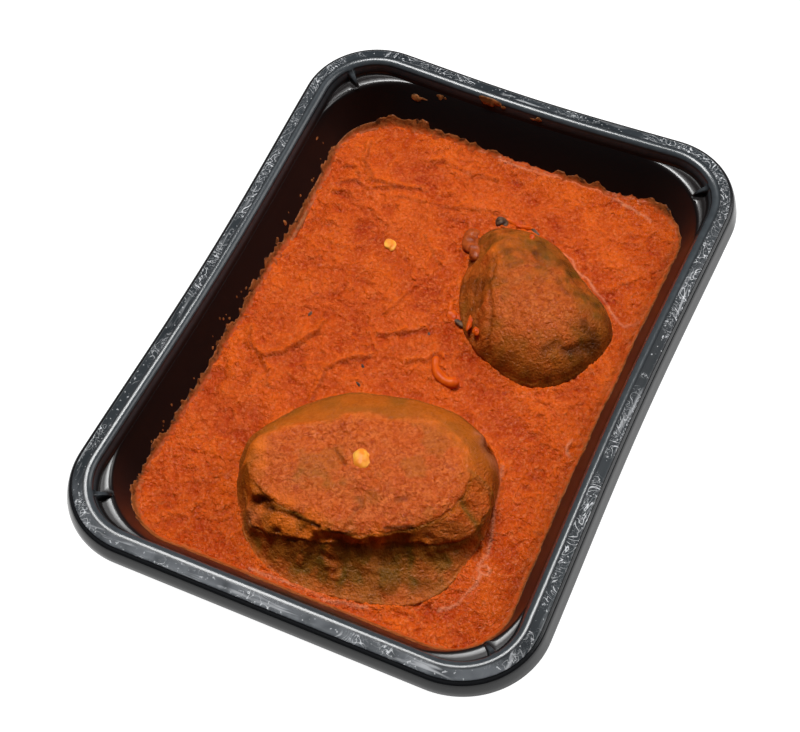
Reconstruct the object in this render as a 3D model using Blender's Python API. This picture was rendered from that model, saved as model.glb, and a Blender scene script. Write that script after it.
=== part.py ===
"""Ready meal in its black plastic tray: two stuffed peppers lying in tomato sauce.

Millimetres are used in the named sizes and turned into metres when a mesh is made.
The tray stands on z = 0 with its long side along X. The origin is the middle of its underside.
"""

import math

import bmesh
import bpy
import numpy as np

for old in list(bpy.data.objects):
    bpy.data.objects.remove(old, do_unlink=True)

MM = 0.001

# The far end bows in more than the near end, so all is moved along X to centre the outline
CENTRING = 0.23

# Tray: the flange's outer edge, before the skirt flares out below it
FLANGE_LENGTH = 183.5
FLANGE_WIDTH = 132.5
FLANGE_CORNER = 22.5
SKIRT_BOTTOM = 30.1
SKIRT_FLARE = 1.75
SHELF_HEIGHT = 31.8
LOWER_WALL_CORNER = 23.5
END_WALL_EXTRA = 2.4

# How far the middle of each side is drawn inwards
BOW_LEFT = 1.9
BOW_RIGHT = 1.6
BOW_FAR_END = 1.8
BOW_NEAR_END = 0.0

# Denesting rib that parts the two corner shelves, turned a little from the corner's diagonal
RIB_DEPTH = 3.4
RIB_TURN = 53.0

# Contents
SAUCE_LEVEL = 20.2
CLEARANCE = 0.35
FLOOR_TOP = 0.8
LARGE_CENTRE = (-45.0, -4.0)
LARGE_TOP = 35.2
SMALL_CENTRE = (29.0, -23.0)
SMALL_TOP = 32.6

# Turns at which a corner of the tray is drawn, closer together beside the rib
CORNER_TURNS = (0.0, 12.0, 24.0, 34.0, 42.5, 47.5, 53.0, 58.5, 63.5, 71.0, 80.0, 90.0)
SIDE_STEPS = 6


def smooth_step(low, high, value):
    t = np.clip((value - low) / (high - low), 0.0, 1.0)
    return t * t * (3.0 - 2.0 * t)


def bowed(x, y):
    """Draws the middle of each long side and of the far end inwards."""
    half_x = FLANGE_LENGTH / 2.0
    half_y = FLANGE_WIDTH / 2.0
    u = np.clip(x / half_x, -1.0, 1.0)
    v = np.clip(y / half_y, -1.0, 1.0)
    along = np.cos(math.pi * u / 2.0) ** 2
    across = np.cos(math.pi * v / 2.0) ** 2
    bow_y = np.where(y > 0.0, -BOW_LEFT, BOW_RIGHT)
    bow_x = np.where(x > 0.0, -BOW_FAR_END, BOW_NEAR_END)
    return x + bow_x * across * np.abs(u), y + bow_y * along * np.abs(v)


def end_extra(z):
    """The end walls lean a little more than the side walls below the corner shelves."""
    depth = max(0.0, SHELF_HEIGHT - z)
    return END_WALL_EXTRA * (1.0 - math.exp(-depth / 6.0))


def tray_loop(inset, z, corner, rib=0.0):
    """One closed loop of the tray, a given distance in from the flange's outer edge."""
    half_x = FLANGE_LENGTH / 2.0 - inset - end_extra(z)
    half_y = FLANGE_WIDTH / 2.0 - inset
    points = []
    for quarter in range(4):
        side_x = (1.0, -1.0, -1.0, 1.0)[quarter]
        side_y = (1.0, 1.0, -1.0, -1.0)[quarter]
        centre_x = side_x * (half_x - corner)
        centre_y = side_y * (half_y - corner)
        turns = CORNER_TURNS
        rib_turn = RIB_TURN
        if quarter in (1, 3):
            turns = [90.0 - turn for turn in reversed(CORNER_TURNS)]
            rib_turn = 90.0 - RIB_TURN
        for turn in turns:
            on_rib = 1.0 - float(smooth_step(4.5, 10.5, abs(turn - rib_turn)))
            reach = corner - rib * on_rib
            angle = math.radians(turn + 90.0 * quarter)
            points.append((centre_x + reach * math.cos(angle), centre_y + reach * math.sin(angle)))
        next_x = (-1.0, -1.0, 1.0, 1.0)[quarter] * (half_x - corner)
        next_y = (1.0, -1.0, -1.0, 1.0)[quarter] * (half_y - corner)
        if quarter == 0:
            start, end = (centre_x, half_y), (next_x, half_y)
        elif quarter == 1:
            start, end = (-half_x, centre_y), (-half_x, next_y)
        elif quarter == 2:
            start, end = (centre_x, -half_y), (next_x, -half_y)
        else:
            start, end = (half_x, centre_y), (half_x, next_y)
        for step in range(1, SIDE_STEPS):
            part = step / SIDE_STEPS
            points.append((start[0] + (end[0] - start[0]) * part, start[1] + (end[1] - start[1]) * part))
    flat = np.array(points)
    x, y = bowed(flat[:, 0], flat[:, 1])
    return np.column_stack([x, y, np.full(len(flat), float(z))])


def make_object(name, points, faces, colour, roughness):
    """A closed mesh with its own material; points are in millimetres."""
    mesh = bpy.data.meshes.new(name)
    mesh.from_pydata([((x + CENTRING) * MM, y * MM, z * MM) for x, y, z in points], [], faces)
    work = bmesh.new()
    work.from_mesh(mesh)
    bmesh.ops.remove_doubles(work, verts=work.verts, dist=0.00001)
    bmesh.ops.recalc_face_normals(work, faces=work.faces)
    work.to_mesh(mesh)
    work.free()
    thing = bpy.data.objects.new(name, mesh)
    bpy.context.scene.collection.objects.link(thing)
    material = bpy.data.materials.new(name + "_material")
    material.use_nodes = True
    shader = material.node_tree.nodes["Principled BSDF"]
    shader.inputs["Base Color"].default_value = (*colour, 1.0)
    shader.inputs["Roughness"].default_value = roughness
    mesh.materials.append(material)
    return thing


def loft(loops):
    """Quads between loops of equal length, closed by a flat cap at each end."""
    count = len(loops[0])
    points = [tuple(point) for loop in loops for point in loop]
    faces = []
    for band in range(len(loops) - 1):
        low = band * count
        high = low + count
        for i in range(count):
            j = (i + 1) % count
            faces.append((low + i, low + j, high + j, high + i))
    faces.append(tuple(range(count - 1, -1, -1)))
    base = (len(loops) - 1) * count
    faces.append(tuple(base + i for i in range(count)))
    return points, faces


# Tray of thin black plastic sheet: the upper skin from the skirt's foot over the flange and bead,
# down the upper wall to the corner shelves, then down the lower wall to the floor
corner = FLANGE_CORNER
upper_skin = [
    tray_loop(-SKIRT_FLARE, SKIRT_BOTTOM, corner + SKIRT_FLARE),
    tray_loop(-0.75, 33.3, corner + 0.75),
    tray_loop(-0.35, 34.4, corner + 0.35),
    tray_loop(0.1, 34.85, corner - 0.1),
    tray_loop(0.5, 34.95, corner - 0.5),
    tray_loop(0.9, 35.4, corner - 0.9),
    tray_loop(4.0, 35.35, corner - 4.0),
    tray_loop(4.45, 35.75, corner - 4.45),
    tray_loop(5.0, 36.0, corner - 5.0),
    tray_loop(5.6, 35.75, corner - 5.6),
    tray_loop(6.1, 34.9, corner - 6.1, rib=0.2),
    tray_loop(6.5, 33.6, corner - 6.5, rib=RIB_DEPTH - 1.0),
    tray_loop(7.0, SHELF_HEIGHT, corner - 7.0, rib=RIB_DEPTH),
    tray_loop(7.3, SHELF_HEIGHT - 0.35, LOWER_WALL_CORNER),
    tray_loop(9.5, 26.0, 19.6),
    tray_loop(11.9, SAUCE_LEVEL, 16.6),
    tray_loop(16.2, 9.0, 13.0),
    tray_loop(17.8, 4.6, 11.6),
    tray_loop(19.0, 2.3, 10.6),
    tray_loop(20.9, 1.1, 9.0),
    tray_loop(23.6, FLOOR_TOP, 7.2),
]
under_skin = [
    tray_loop(-SKIRT_FLARE + 0.8, SKIRT_BOTTOM, corner + SKIRT_FLARE - 0.8),
    tray_loop(0.25, 33.7, corner - 0.25),
    tray_loop(0.9, 34.3, corner - 0.9),
    tray_loop(4.3, 34.5, corner - 4.3),
    tray_loop(5.2, 34.3, corner - 5.2, rib=0.1),
    tray_loop(5.7, 33.2, corner - 5.7, rib=RIB_DEPTH - 1.0),
    tray_loop(6.2, SHELF_HEIGHT - 0.8, corner - 6.2, rib=RIB_DEPTH),
    tray_loop(6.5, SHELF_HEIGHT - 1.15, LOWER_WALL_CORNER + 0.8),
    tray_loop(8.65, 25.7, 20.4),
    tray_loop(11.0, SAUCE_LEVEL - 0.2, 17.4),
    tray_loop(15.3, 8.8, 13.8),
    tray_loop(16.9, 4.3, 12.4),
    tray_loop(18.2, 1.7, 11.3),
    tray_loop(20.2, 0.35, 9.6),
    tray_loop(22.6, 0.0, 8.0),
]
tray_points, tray_faces = loft(list(reversed(upper_skin)) + under_skin)
make_object("tray", tray_points, tray_faces, (0.012, 0.012, 0.013), 0.25)


def cavity_inset(z):
    """Inset and corner radius of the tray's inner wall at a height."""
    heights = (1.1, 2.3, 4.6, 9.0, SAUCE_LEVEL, 26.0, SHELF_HEIGHT - 0.35)
    insets = (20.9, 19.0, 17.8, 16.2, 11.9, 9.5, 7.3)
    corners = (9.0, 10.6, 11.6, 13.0, 16.6, 19.6, LOWER_WALL_CORNER)
    return float(np.interp(z, heights, insets)), float(np.interp(z, heights, corners))


def cyclic(values, turn):
    """A value read off evenly spaced stations round the circle, with a smooth curve between them."""
    count = len(values)
    place = (turn % 360.0) * count / 360.0
    first = int(math.floor(place))
    t = place - first
    a = values[(first - 1) % count]
    b = values[first % count]
    c = values[(first + 1) % count]
    d = values[(first + 2) % count]
    bend = 2 * a - 5 * b + 4 * c - d + (3 * b - a - 3 * c + d) * t
    return b + 0.5 * t * (c - a + t * bend)


# Large pepper: half-widths every 15 degrees from +X, at the sauce's level and at the lip of its flat top
LARGE_AT_SAUCE = (31.0, 30.5, 30.5, 31.0, 31.5, 32.5, 34.5, 34.0, 33.0, 33.0, 33.0, 31.8,
                  31.0, 31.0, 32.5, 35.0, 36.0, 35.0, 35.0, 35.5, 37.0, 37.5, 35.5, 33.0)
LARGE_AT_LIP = (18.0, 17.5, 17.5, 18.0, 19.5, 23.5, 27.5, 28.5, 26.5, 22.0, 19.0, 17.8,
                17.5, 17.5, 17.5, 18.2, 20.0, 23.0, 25.5, 27.5, 28.5, 27.5, 24.5, 21.0)

# Small pepper: half-widths every 15 degrees from +X at the sauce's level
SMALL_AT_SAUCE = (21.5, 24.5, 28.0, 30.5, 28.0, 23.5, 22.0, 21.0, 20.5, 21.0, 21.5, 22.0,
                  23.5, 26.0, 27.0, 26.3, 25.5, 25.0, 24.5, 22.0, 19.2, 17.5, 17.5, 19.0)


def large_profile(turn):
    """Radius and height down the large pepper's side at one turn, from its top to its underside."""
    water = cyclic(LARGE_AT_SAUCE, turn)
    lip = cyclic(LARGE_AT_LIP, turn)
    folded = float(smooth_step(98.0, 128.0, turn % 360.0) * (1.0 - smooth_step(288.0, 322.0, turn % 360.0)))
    side = water - lip
    smooth_side = [
        (lip * 0.35, LARGE_TOP - 0.2), (lip * 0.7, LARGE_TOP - 0.6), (lip * 0.97, LARGE_TOP - 1.4),
        (lip + side * 0.3, LARGE_TOP - 2.5), (lip + side * 0.6, LARGE_TOP - 4.7),
        (lip + side * 0.85, LARGE_TOP - 8.4), (lip + side * 0.98, SAUCE_LEVEL + 2.6),
    ]
    folded_side = [
        (lip * 0.35, LARGE_TOP - 0.2), (lip * 0.75, LARGE_TOP - 0.9), (lip * 0.98, LARGE_TOP - 2.2),
        (lip + 0.7, LARGE_TOP - 3.7), (lip + 0.6, LARGE_TOP - 5.4),
        (lip + side * 0.42, LARGE_TOP - 8.6), (lip + side * 0.84, SAUCE_LEVEL + 3.0),
    ]
    upper = [
        (a[0] * (1.0 - folded) + b[0] * folded, a[1] * (1.0 - folded) + b[1] * folded)
        for a, b in zip(smooth_side, folded_side)
    ]
    lower = [
        (water, SAUCE_LEVEL), (water * 0.94, 15.0), (water * 0.87, 9.0),
        (water * 0.78, 4.4), (water * 0.65, 1.9), (water * 0.45, 1.2),
    ]
    return upper + lower


def small_profile(turn):
    """Radius and height down the small pepper's side at one turn, from its top to its underside."""
    water = cyclic(SMALL_AT_SAUCE, turn)
    return [
        (water * 0.2, SMALL_TOP - 0.1), (water * 0.42, SMALL_TOP - 0.9), (water * 0.62, SMALL_TOP - 2.4),
        (water * 0.79, SMALL_TOP - 4.8), (water * 0.91, SMALL_TOP - 7.8), (water * 0.97, SMALL_TOP - 10.4),
        (water, SAUCE_LEVEL), (water * 0.99, 15.0), (water * 0.93, 9.0),
        (water * 0.84, 4.4), (water * 0.68, 1.9), (water * 0.45, 1.2),
    ]


def small_fold(x, y):
    """Depth of the crease along the small pepper's left flap, and of the flap itself."""
    along_x, along_y = 0.815, 0.579
    from_x = x - 34.0
    from_y = y + 8.0
    across = -from_x * along_y + from_y * along_x
    along = from_x * along_x + from_y * along_y
    reach = math.exp(-((along / 19.0) ** 4))
    groove = 1.1 * math.exp(-((across / 1.8) ** 2))
    flap = 2.6 * float(smooth_step(0.0, 5.0, across))
    return reach * (groove + flap)


def large_dents(x, y):
    """Shallow hollows and swellings in the large pepper's flat top."""
    swell = 0.5 * math.sin(x * 0.19 + 1.0) * math.cos(y * 0.15 - 0.4)
    dent = -0.9 * math.exp(-(((x + 58.0) / 5.0) ** 2 + ((y - 9.0) / 6.0) ** 2))
    grain = 1.0 * math.exp(-(((x + 41.7) / 1.7) ** 2 + ((y + 3.4) / 1.7) ** 2))
    return swell + dent + grain


def pepper(centre, profile, top, shaping, sectors, grow):
    """Closed pepper body: rings of points from its top to its underside, swollen by grow if asked."""
    rings = len(profile(0.0))
    points = []
    for ring in range(rings):
        for sector in range(sectors):
            turn = 360.0 * sector / sectors
            radius, z = profile(turn)[ring]
            angle = math.radians(turn)
            x = centre[0] + (radius + grow) * math.cos(angle)
            y = centre[1] + (radius + grow) * math.sin(angle)
            above = float(smooth_step(SAUCE_LEVEL + 1.0, SAUCE_LEVEL + 5.0, z))
            z += above * shaping(x, y)
            middle = (top + 1.0) / 2.0
            z += grow * float(np.clip((z - middle) / 6.0, -1.0, 1.0))
            points.append((x, y, z))
    faces = []
    for ring in range(rings - 1):
        for sector in range(sectors):
            after = (sector + 1) % sectors
            low = ring * sectors
            high = low + sectors
            faces.append((low + sector, low + after, high + after, high + sector))
    points.append((centre[0], centre[1], top + shaping(centre[0], centre[1]) + grow))
    points.append((centre[0], centre[1], 1.15 - grow))
    for sector in range(sectors):
        after = (sector + 1) % sectors
        faces.append((sector, len(points) - 2, after))
        low = (rings - 1) * sectors
        faces.append((low + sector, low + after, len(points) - 1))
    return points, faces


def piece_path(t):
    """Centre line of the hooked orange vegetable piece that lies on the sauce."""
    stops_x = (3.7, 1.6, -0.7, -2.4, -3.4, -3.3, -1.2)
    stops_y = (-4.6, -5.0, -6.0, -7.9, -10.2, -12.4, -13.0)
    place = t * (len(stops_x) - 1)
    return float(np.interp(place, range(7), stops_x)), float(np.interp(place, range(7), stops_y))


def piece(grow):
    """Closed tube with round ends along the piece's centre line."""
    steps = 13
    sides = 12
    points = []
    for step in range(steps):
        t = step / (steps - 1)
        x, y = piece_path(t)
        ahead = piece_path(min(1.0, t + 0.1))
        behind = piece_path(max(0.0, t - 0.1))
        heading = math.atan2(ahead[1] - behind[1], ahead[0] - behind[0])
        near_end = math.sqrt(max(0.0, 1.0 - (2.0 * t - 1.0) ** 8))
        girth = (1.15 + 0.55 * t) * near_end + 0.08 + grow
        for side in range(sides):
            round_turn = 2.0 * math.pi * side / sides
            out = girth * math.cos(round_turn)
            up = girth * 0.85 * math.sin(round_turn)
            stretch = grow * (2.0 * t - 1.0)
            points.append((
                x - out * math.sin(heading) + stretch * math.cos(heading),
                y + out * math.cos(heading) + stretch * math.sin(heading),
                SAUCE_LEVEL + 1.0 + up,
            ))
    faces = []
    for step in range(steps - 1):
        for side in range(sides):
            after = (side + 1) % sides
            low = step * sides
            high = low + sides
            faces.append((low + side, low + after, high + after, high + side))
    faces.append(tuple(range(sides - 1, -1, -1)))
    faces.append(tuple((steps - 1) * sides + side for side in range(sides)))
    return points, faces


def ridge(x, y, points, width, height):
    """Height of a rounded ridge that follows a bent line on the sauce."""
    nearest = 1e9
    for a, b in zip(points[:-1], points[1:]):
        run_x = b[0] - a[0]
        run_y = b[1] - a[1]
        t = ((x - a[0]) * run_x + (y - a[1]) * run_y) / (run_x * run_x + run_y * run_y)
        t = min(1.0, max(0.0, t))
        nearest = min(nearest, math.hypot(x - a[0] - run_x * t, y - a[1] - run_y * t))
    return height * math.exp(-((nearest / width) ** 2))


def sauce_height(x, y):
    """The sauce's uneven top: broad swells, a few ridges and a raised rim beside each pepper."""
    swell = 0.45 * math.sin(x * 0.085 + 0.6) * math.cos(y * 0.11 - 0.5)
    swell += 0.25 * math.sin(x * 0.23 - y * 0.17 + 1.3)
    scallop = ridge(x, y, ((-11.7, 45.9), (-15.1, 41.0), (-9.0, 35.2), (-1.0, 29.6)), 3.2, 0.8)
    curved = ridge(x, y, ((-18.2, 22.9), (-8.5, 21.3), (-2.2, 13.4)), 3.0, 0.7)
    far_fold = ridge(x, y, ((66.0, 30.0), (52.0, 33.0), (45.0, 24.0)), 3.5, 0.7)
    grain = 0.7 * math.exp(-(((x - 34.0) / 1.8) ** 2 + ((y - 23.5) / 1.8) ** 2))
    return SAUCE_LEVEL + swell + scallop + curved + far_fold + grain


# Large and small pepper, each a closed lobed body that stands on the tray's floor in the sauce
points, faces = pepper(LARGE_CENTRE, large_profile, LARGE_TOP, large_dents, 48, 0.0)
make_object("pepper_large", points, faces, (0.22, 0.10, 0.02), 0.4)
points, faces = pepper(
    SMALL_CENTRE, small_profile, SMALL_TOP, lambda x, y: -small_fold(x, y), 40, 0.0)
make_object("pepper_small", points, faces, (0.18, 0.10, 0.02), 0.4)

# Hooked piece of orange vegetable that lies half sunk in the sauce
points, faces = piece(0.0)
make_object("vegetable_piece", points, faces, (0.8, 0.22, 0.02), 0.3)

# Sauce: a grid with an uneven top, trimmed to the tray's inner wall, then cut round what lies in it
GRID_STEP = 3.2
columns = int(FLANGE_LENGTH / GRID_STEP) + 1
rows = int(FLANGE_WIDTH / GRID_STEP) + 1
top_points = []
for column in range(columns):
    for row in range(rows):
        x = (column - (columns - 1) / 2.0) * GRID_STEP
        y = (row - (rows - 1) / 2.0) * GRID_STEP
        top_points.append((x, y, sauce_height(x, y)))
block_points = top_points + [(x, y, -6.0) for x, y, z in top_points]
block_faces = []
below = len(top_points)
for column in range(columns - 1):
    for row in range(rows - 1):
        a = column * rows + row
        b = a + rows
        block_faces.append((a, b, b + 1, a + 1))
        block_faces.append((a + below, a + 1 + below, b + 1 + below, b + below))
for column in range(columns - 1):
    a = column * rows
    b = a + rows
    block_faces.append((a, a + below, b + below, b))
    a += rows - 1
    b += rows - 1
    block_faces.append((b, b + below, a + below, a))
for row in range(rows - 1):
    a = row
    block_faces.append((a + 1, a + 1 + below, a + below, a))
    a = (columns - 1) * rows + row
    block_faces.append((a, a + below, a + 1 + below, a + 1))
sauce = make_object("sauce", block_points, block_faces, (0.6, 0.08, 0.01), 0.3)

cavity_loops = []
for z in (27.0, 23.5, SAUCE_LEVEL, 14.0, 9.0, 4.8, 2.8, 1.6):
    inset, radius = cavity_inset(z - 0.15)
    cavity_loops.append(tray_loop(inset + CLEARANCE, z, radius - CLEARANCE))
cavity_loops.append(tray_loop(23.6, FLOOR_TOP + CLEARANCE, 6.8))
points, faces = loft(cavity_loops)
cavity = make_object("cavity_cutter", points, faces, (0.5, 0.5, 0.5), 0.5)
points, faces = pepper(LARGE_CENTRE, large_profile, LARGE_TOP, large_dents, 48, CLEARANCE)
large_cutter = make_object("large_cutter", points, faces, (0.5, 0.5, 0.5), 0.5)
points, faces = pepper(
    SMALL_CENTRE, small_profile, SMALL_TOP, lambda x, y: -small_fold(x, y), 40, CLEARANCE)
small_cutter = make_object("small_cutter", points, faces, (0.5, 0.5, 0.5), 0.5)
points, faces = piece(CLEARANCE)
piece_cutter = make_object("piece_cutter", points, faces, (0.5, 0.5, 0.5), 0.5)

for cutter, action in (
    (cavity, "INTERSECT"),
    (large_cutter, "DIFFERENCE"),
    (small_cutter, "DIFFERENCE"),
    (piece_cutter, "DIFFERENCE"),
):
    cutter.hide_render = True
    cutter.display_type = "WIRE"
    trim = sauce.modifiers.new(cutter.name, "BOOLEAN")
    trim.operation = action
    trim.solver = "EXACT"
    trim.object = cutter
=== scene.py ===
import math

import bmesh
import bpy
import numpy as np
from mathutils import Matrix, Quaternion, Vector


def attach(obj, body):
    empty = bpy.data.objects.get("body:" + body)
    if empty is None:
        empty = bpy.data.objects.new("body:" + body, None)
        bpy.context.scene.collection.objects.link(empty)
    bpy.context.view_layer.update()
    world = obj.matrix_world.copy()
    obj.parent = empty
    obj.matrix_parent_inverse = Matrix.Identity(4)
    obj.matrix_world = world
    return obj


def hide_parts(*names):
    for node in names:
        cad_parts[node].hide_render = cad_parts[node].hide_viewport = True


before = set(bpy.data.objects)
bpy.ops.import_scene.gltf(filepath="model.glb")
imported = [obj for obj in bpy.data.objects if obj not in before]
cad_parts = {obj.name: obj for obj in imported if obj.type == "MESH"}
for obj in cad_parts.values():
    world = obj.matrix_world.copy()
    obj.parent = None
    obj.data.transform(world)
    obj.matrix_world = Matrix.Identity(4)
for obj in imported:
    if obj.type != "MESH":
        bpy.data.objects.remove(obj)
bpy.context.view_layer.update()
bpy.ops.object.select_all(action="DESELECT")

# Camera, floor and studio light.
# The camera looks down on the near right corner, as the photographer did. The floor is plain white.
# A soft bright light hangs above the far left, and a wider, weaker one stands at the far right for the rim's shine.
bpy.context.scene.view_settings.view_transform = "Standard"
camera_place = Vector((-0.25836, -0.12841, 0.46657))
camera_aim = Vector((-0.0120, -0.0010, 0.036))
CAMERA_ROLL = -3.52
FLOOR_SIZE = 6.0
camera_data = bpy.data.cameras.new("camera")
camera_data.sensor_fit = "HORIZONTAL"
camera_data.sensor_width = 36.0
camera_data.lens = 85.33
camera_data.clip_start = 0.01
camera_data.clip_end = 20.0
camera = bpy.data.objects.new("camera", camera_data)
bpy.context.scene.collection.objects.link(camera)
camera.location = camera_place
camera.rotation_mode = "QUATERNION"
looking = (camera_aim - camera_place).to_track_quat("-Z", "Y")
camera.rotation_quaternion = looking @ Quaternion((0.0, 0.0, 1.0), math.radians(CAMERA_ROLL))
bpy.context.scene.camera = camera

world = bpy.data.worlds.new("studio")
world.use_nodes = True
bpy.context.scene.world = world
around = world.node_tree.nodes.new("ShaderNodeTexCoord")
towards_light = world.node_tree.nodes.new("ShaderNodeVectorMath")
towards_light.operation = "DOT_PRODUCT"
towards_light.inputs[1].default_value = (0.59, 0.34, 0.73)
brightness = world.node_tree.nodes.new("ShaderNodeMapRange")
brightness.inputs["From Min"].default_value = -0.35
brightness.inputs["From Max"].default_value = 0.35
brightness.inputs["To Min"].default_value = 0.15
brightness.inputs["To Max"].default_value = 0.42
background = world.node_tree.nodes["Background"]
world.node_tree.links.new(around.outputs["Generated"], towards_light.inputs[0])
world.node_tree.links.new(towards_light.outputs["Value"], brightness.inputs["Value"])
world.node_tree.links.new(brightness.outputs["Result"], background.inputs["Strength"])


def add_light(name, place, aim, width, depth, brightness):
    """A soft light of the given size in metres; brightness is how bright its face looks."""
    data = bpy.data.lights.new(name, "AREA")
    data.shape = "RECTANGLE"
    data.size = width
    data.size_y = depth
    data.energy = brightness * width * depth * math.pi
    light = bpy.data.objects.new(name, data)
    bpy.context.scene.collection.objects.link(light)
    light.location = place
    light.rotation_mode = "QUATERNION"
    light.rotation_quaternion = (Vector(aim) - Vector(place)).to_track_quat("-Z", "Y")


add_light("key", (0.32, 0.32, 1.08), (0.0, 0.0, 0.0), 0.45, 0.32, 29.5)
add_light("side", (0.62, -0.64, 0.78), (0.0, 0.0, 0.0), 0.7, 0.7, 3.6)

bpy.ops.mesh.primitive_plane_add(size=FLOOR_SIZE, location=(0.0, 0.0, 0.0))
floor = bpy.context.object
floor.name = "floor"
floor_material = bpy.data.materials.new("floor_white")
floor_material.use_nodes = True
floor_shader = floor_material.node_tree.nodes["Principled BSDF"]
floor_shader.inputs["Base Color"].default_value = (0.25, 0.25, 0.25, 1.0)
floor_shader.inputs["Roughness"].default_value = 0.9
floor_shader.inputs["Specular IOR Level"].default_value = 0.0
floor_shader.inputs["Emission Color"].default_value = (1.0, 1.0, 1.0, 1.0)
floor_shader.inputs["Emission Strength"].default_value = 1.0
floor.data.materials.append(floor_material)


# Tray: one sheet of black plastic, drawn by vacuum into a mould and trimmed at its skirt.
# The flange has a raised bead inside it, and each corner has a rib and two small shelves for stacking.
# Torn threads of the sealed-on lidding film are left on the flange.
MM = 0.001
CENTRING = 0.23
FLANGE_LENGTH = 183.5
FLANGE_WIDTH = 132.5
FLANGE_CORNER = 22.5
SHELF_HEIGHT = 31.8
LOWER_WALL_CORNER = 23.5
END_WALL_EXTRA = 2.4
BOW_LEFT = 1.9
BOW_RIGHT = 1.6
BOW_FAR_END = 1.8
RIB_DEPTH = 3.4
RIB_TURN = 53.0


def smooth_step(low, high, value):
    """0 up to low and 1 from high on, with a soft slope between them; it falls where low is over high."""
    t = np.clip((value - low) / (high - low), 0.0, 1.0)
    return t * t * (3.0 - 2.0 * t)


def end_lean(z):
    """How much more the end walls lean in than the side walls at a height, in millimetres."""
    return END_WALL_EXTRA * (1.0 - math.exp(-max(0.0, SHELF_HEIGHT - z) / 6.0))


def tray_loop(inset, z, corner, rib=0.0, corner_steps=30, side_steps=22):
    """One closed loop of the tray, a given distance in from the flange's outer edge, in millimetres."""
    half_x = FLANGE_LENGTH / 2.0 - inset - end_lean(z)
    half_y = FLANGE_WIDTH / 2.0 - inset
    even = np.linspace(0.0, 90.0, corner_steps + 1)
    beside_rib = RIB_TURN + np.linspace(-6.0, 6.0, 17)
    first_turns = np.sort(np.concatenate([even, beside_rib + 0.01]))
    along = np.linspace(0.0, 1.0, side_steps + 1)[1:-1]
    parts = []
    for quarter in range(4):
        rib_turn = RIB_TURN if quarter in (0, 2) else 90.0 - RIB_TURN
        turns = first_turns if quarter in (0, 2) else 90.0 - first_turns[::-1]
        reach = corner - rib * (1.0 - smooth_step(1.6, 4.2, np.abs(turns - rib_turn)))
        angle = np.radians(turns + 90.0 * quarter)
        side_x = (1.0, -1.0, -1.0, 1.0)[quarter]
        side_y = (1.0, 1.0, -1.0, -1.0)[quarter]
        middle_x = side_x * (half_x - corner)
        middle_y = side_y * (half_y - corner)
        parts.append(np.column_stack([middle_x + reach * np.cos(angle), middle_y + reach * np.sin(angle)]))
        last = math.radians(90.0 * quarter + 90.0)
        start = np.array([middle_x + corner * math.cos(last), middle_y + corner * math.sin(last)])
        next_x = (-1.0, -1.0, 1.0, 1.0)[quarter] * (half_x - corner)
        next_y = (1.0, -1.0, -1.0, 1.0)[quarter] * (half_y - corner)
        end = np.array([next_x + corner * math.cos(last), next_y + corner * math.sin(last)])
        parts.append(start + (end - start) * along[:, None])
    flat = np.vstack(parts)
    x = flat[:, 0]
    y = flat[:, 1]
    u = np.clip(x / (FLANGE_LENGTH / 2.0), -1.0, 1.0)
    v = np.clip(y / (FLANGE_WIDTH / 2.0), -1.0, 1.0)
    bow_x = np.where(x > 0.0, -BOW_FAR_END, 0.0) * np.cos(math.pi * v / 2.0) ** 2 * np.abs(u)
    bow_y = np.where(y > 0.0, -BOW_LEFT, BOW_RIGHT) * np.cos(math.pi * u / 2.0) ** 2 * np.abs(v)
    return np.column_stack([x + bow_x, y + bow_y, np.full(len(x), float(z))])


def lay_loop(thing, points, extrude=True):
    """Extrudes the selected loop of edges and lays its corners on the given points."""
    if extrude:
        bpy.ops.mesh.extrude_edges_move()
    work = bmesh.from_edit_mesh(thing.data)
    place = work.verts.layers.int["place"]
    for vert in work.verts:
        if vert.select:
            x, y, z = points[vert[place]]
            vert.co = ((x + CENTRING) * MM, y * MM, z * MM)
    bmesh.update_edit_mesh(thing.data)


def start_loop(name, points, fill):
    """A circle primitive laid on the first loop of a piece, left in edit mode with its edges selected."""
    bpy.ops.object.select_all(action="DESELECT")
    bpy.ops.mesh.primitive_circle_add(vertices=len(points), radius=0.05, fill_type=fill)
    thing = bpy.context.object
    thing.name = name
    place = thing.data.attributes.new("place", "INT", "POINT")
    turns = np.array([math.atan2(vert.co.y, vert.co.x) for vert in thing.data.vertices])
    order = np.round((turns - turns[0]) / (2.0 * math.pi) * len(points)).astype(int) % len(points)
    place.data.foreach_set("value", order.tolist())
    bpy.ops.object.mode_set(mode="EDIT")
    bpy.ops.mesh.select_mode(type="EDGE")
    bpy.ops.mesh.select_all(action="SELECT")
    lay_loop(thing, points, extrude=False)
    return thing


def close_shape(thing, cap=True):
    """Fills the last loop where asked, turns all faces outwards and leaves edit mode."""
    if cap:
        bpy.ops.mesh.edge_face_add()
    bpy.ops.mesh.select_all(action="SELECT")
    bpy.ops.mesh.normals_make_consistent(inside=False)
    bpy.ops.mesh.select_all(action="DESELECT")
    bpy.ops.object.mode_set(mode="OBJECT")


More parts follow.
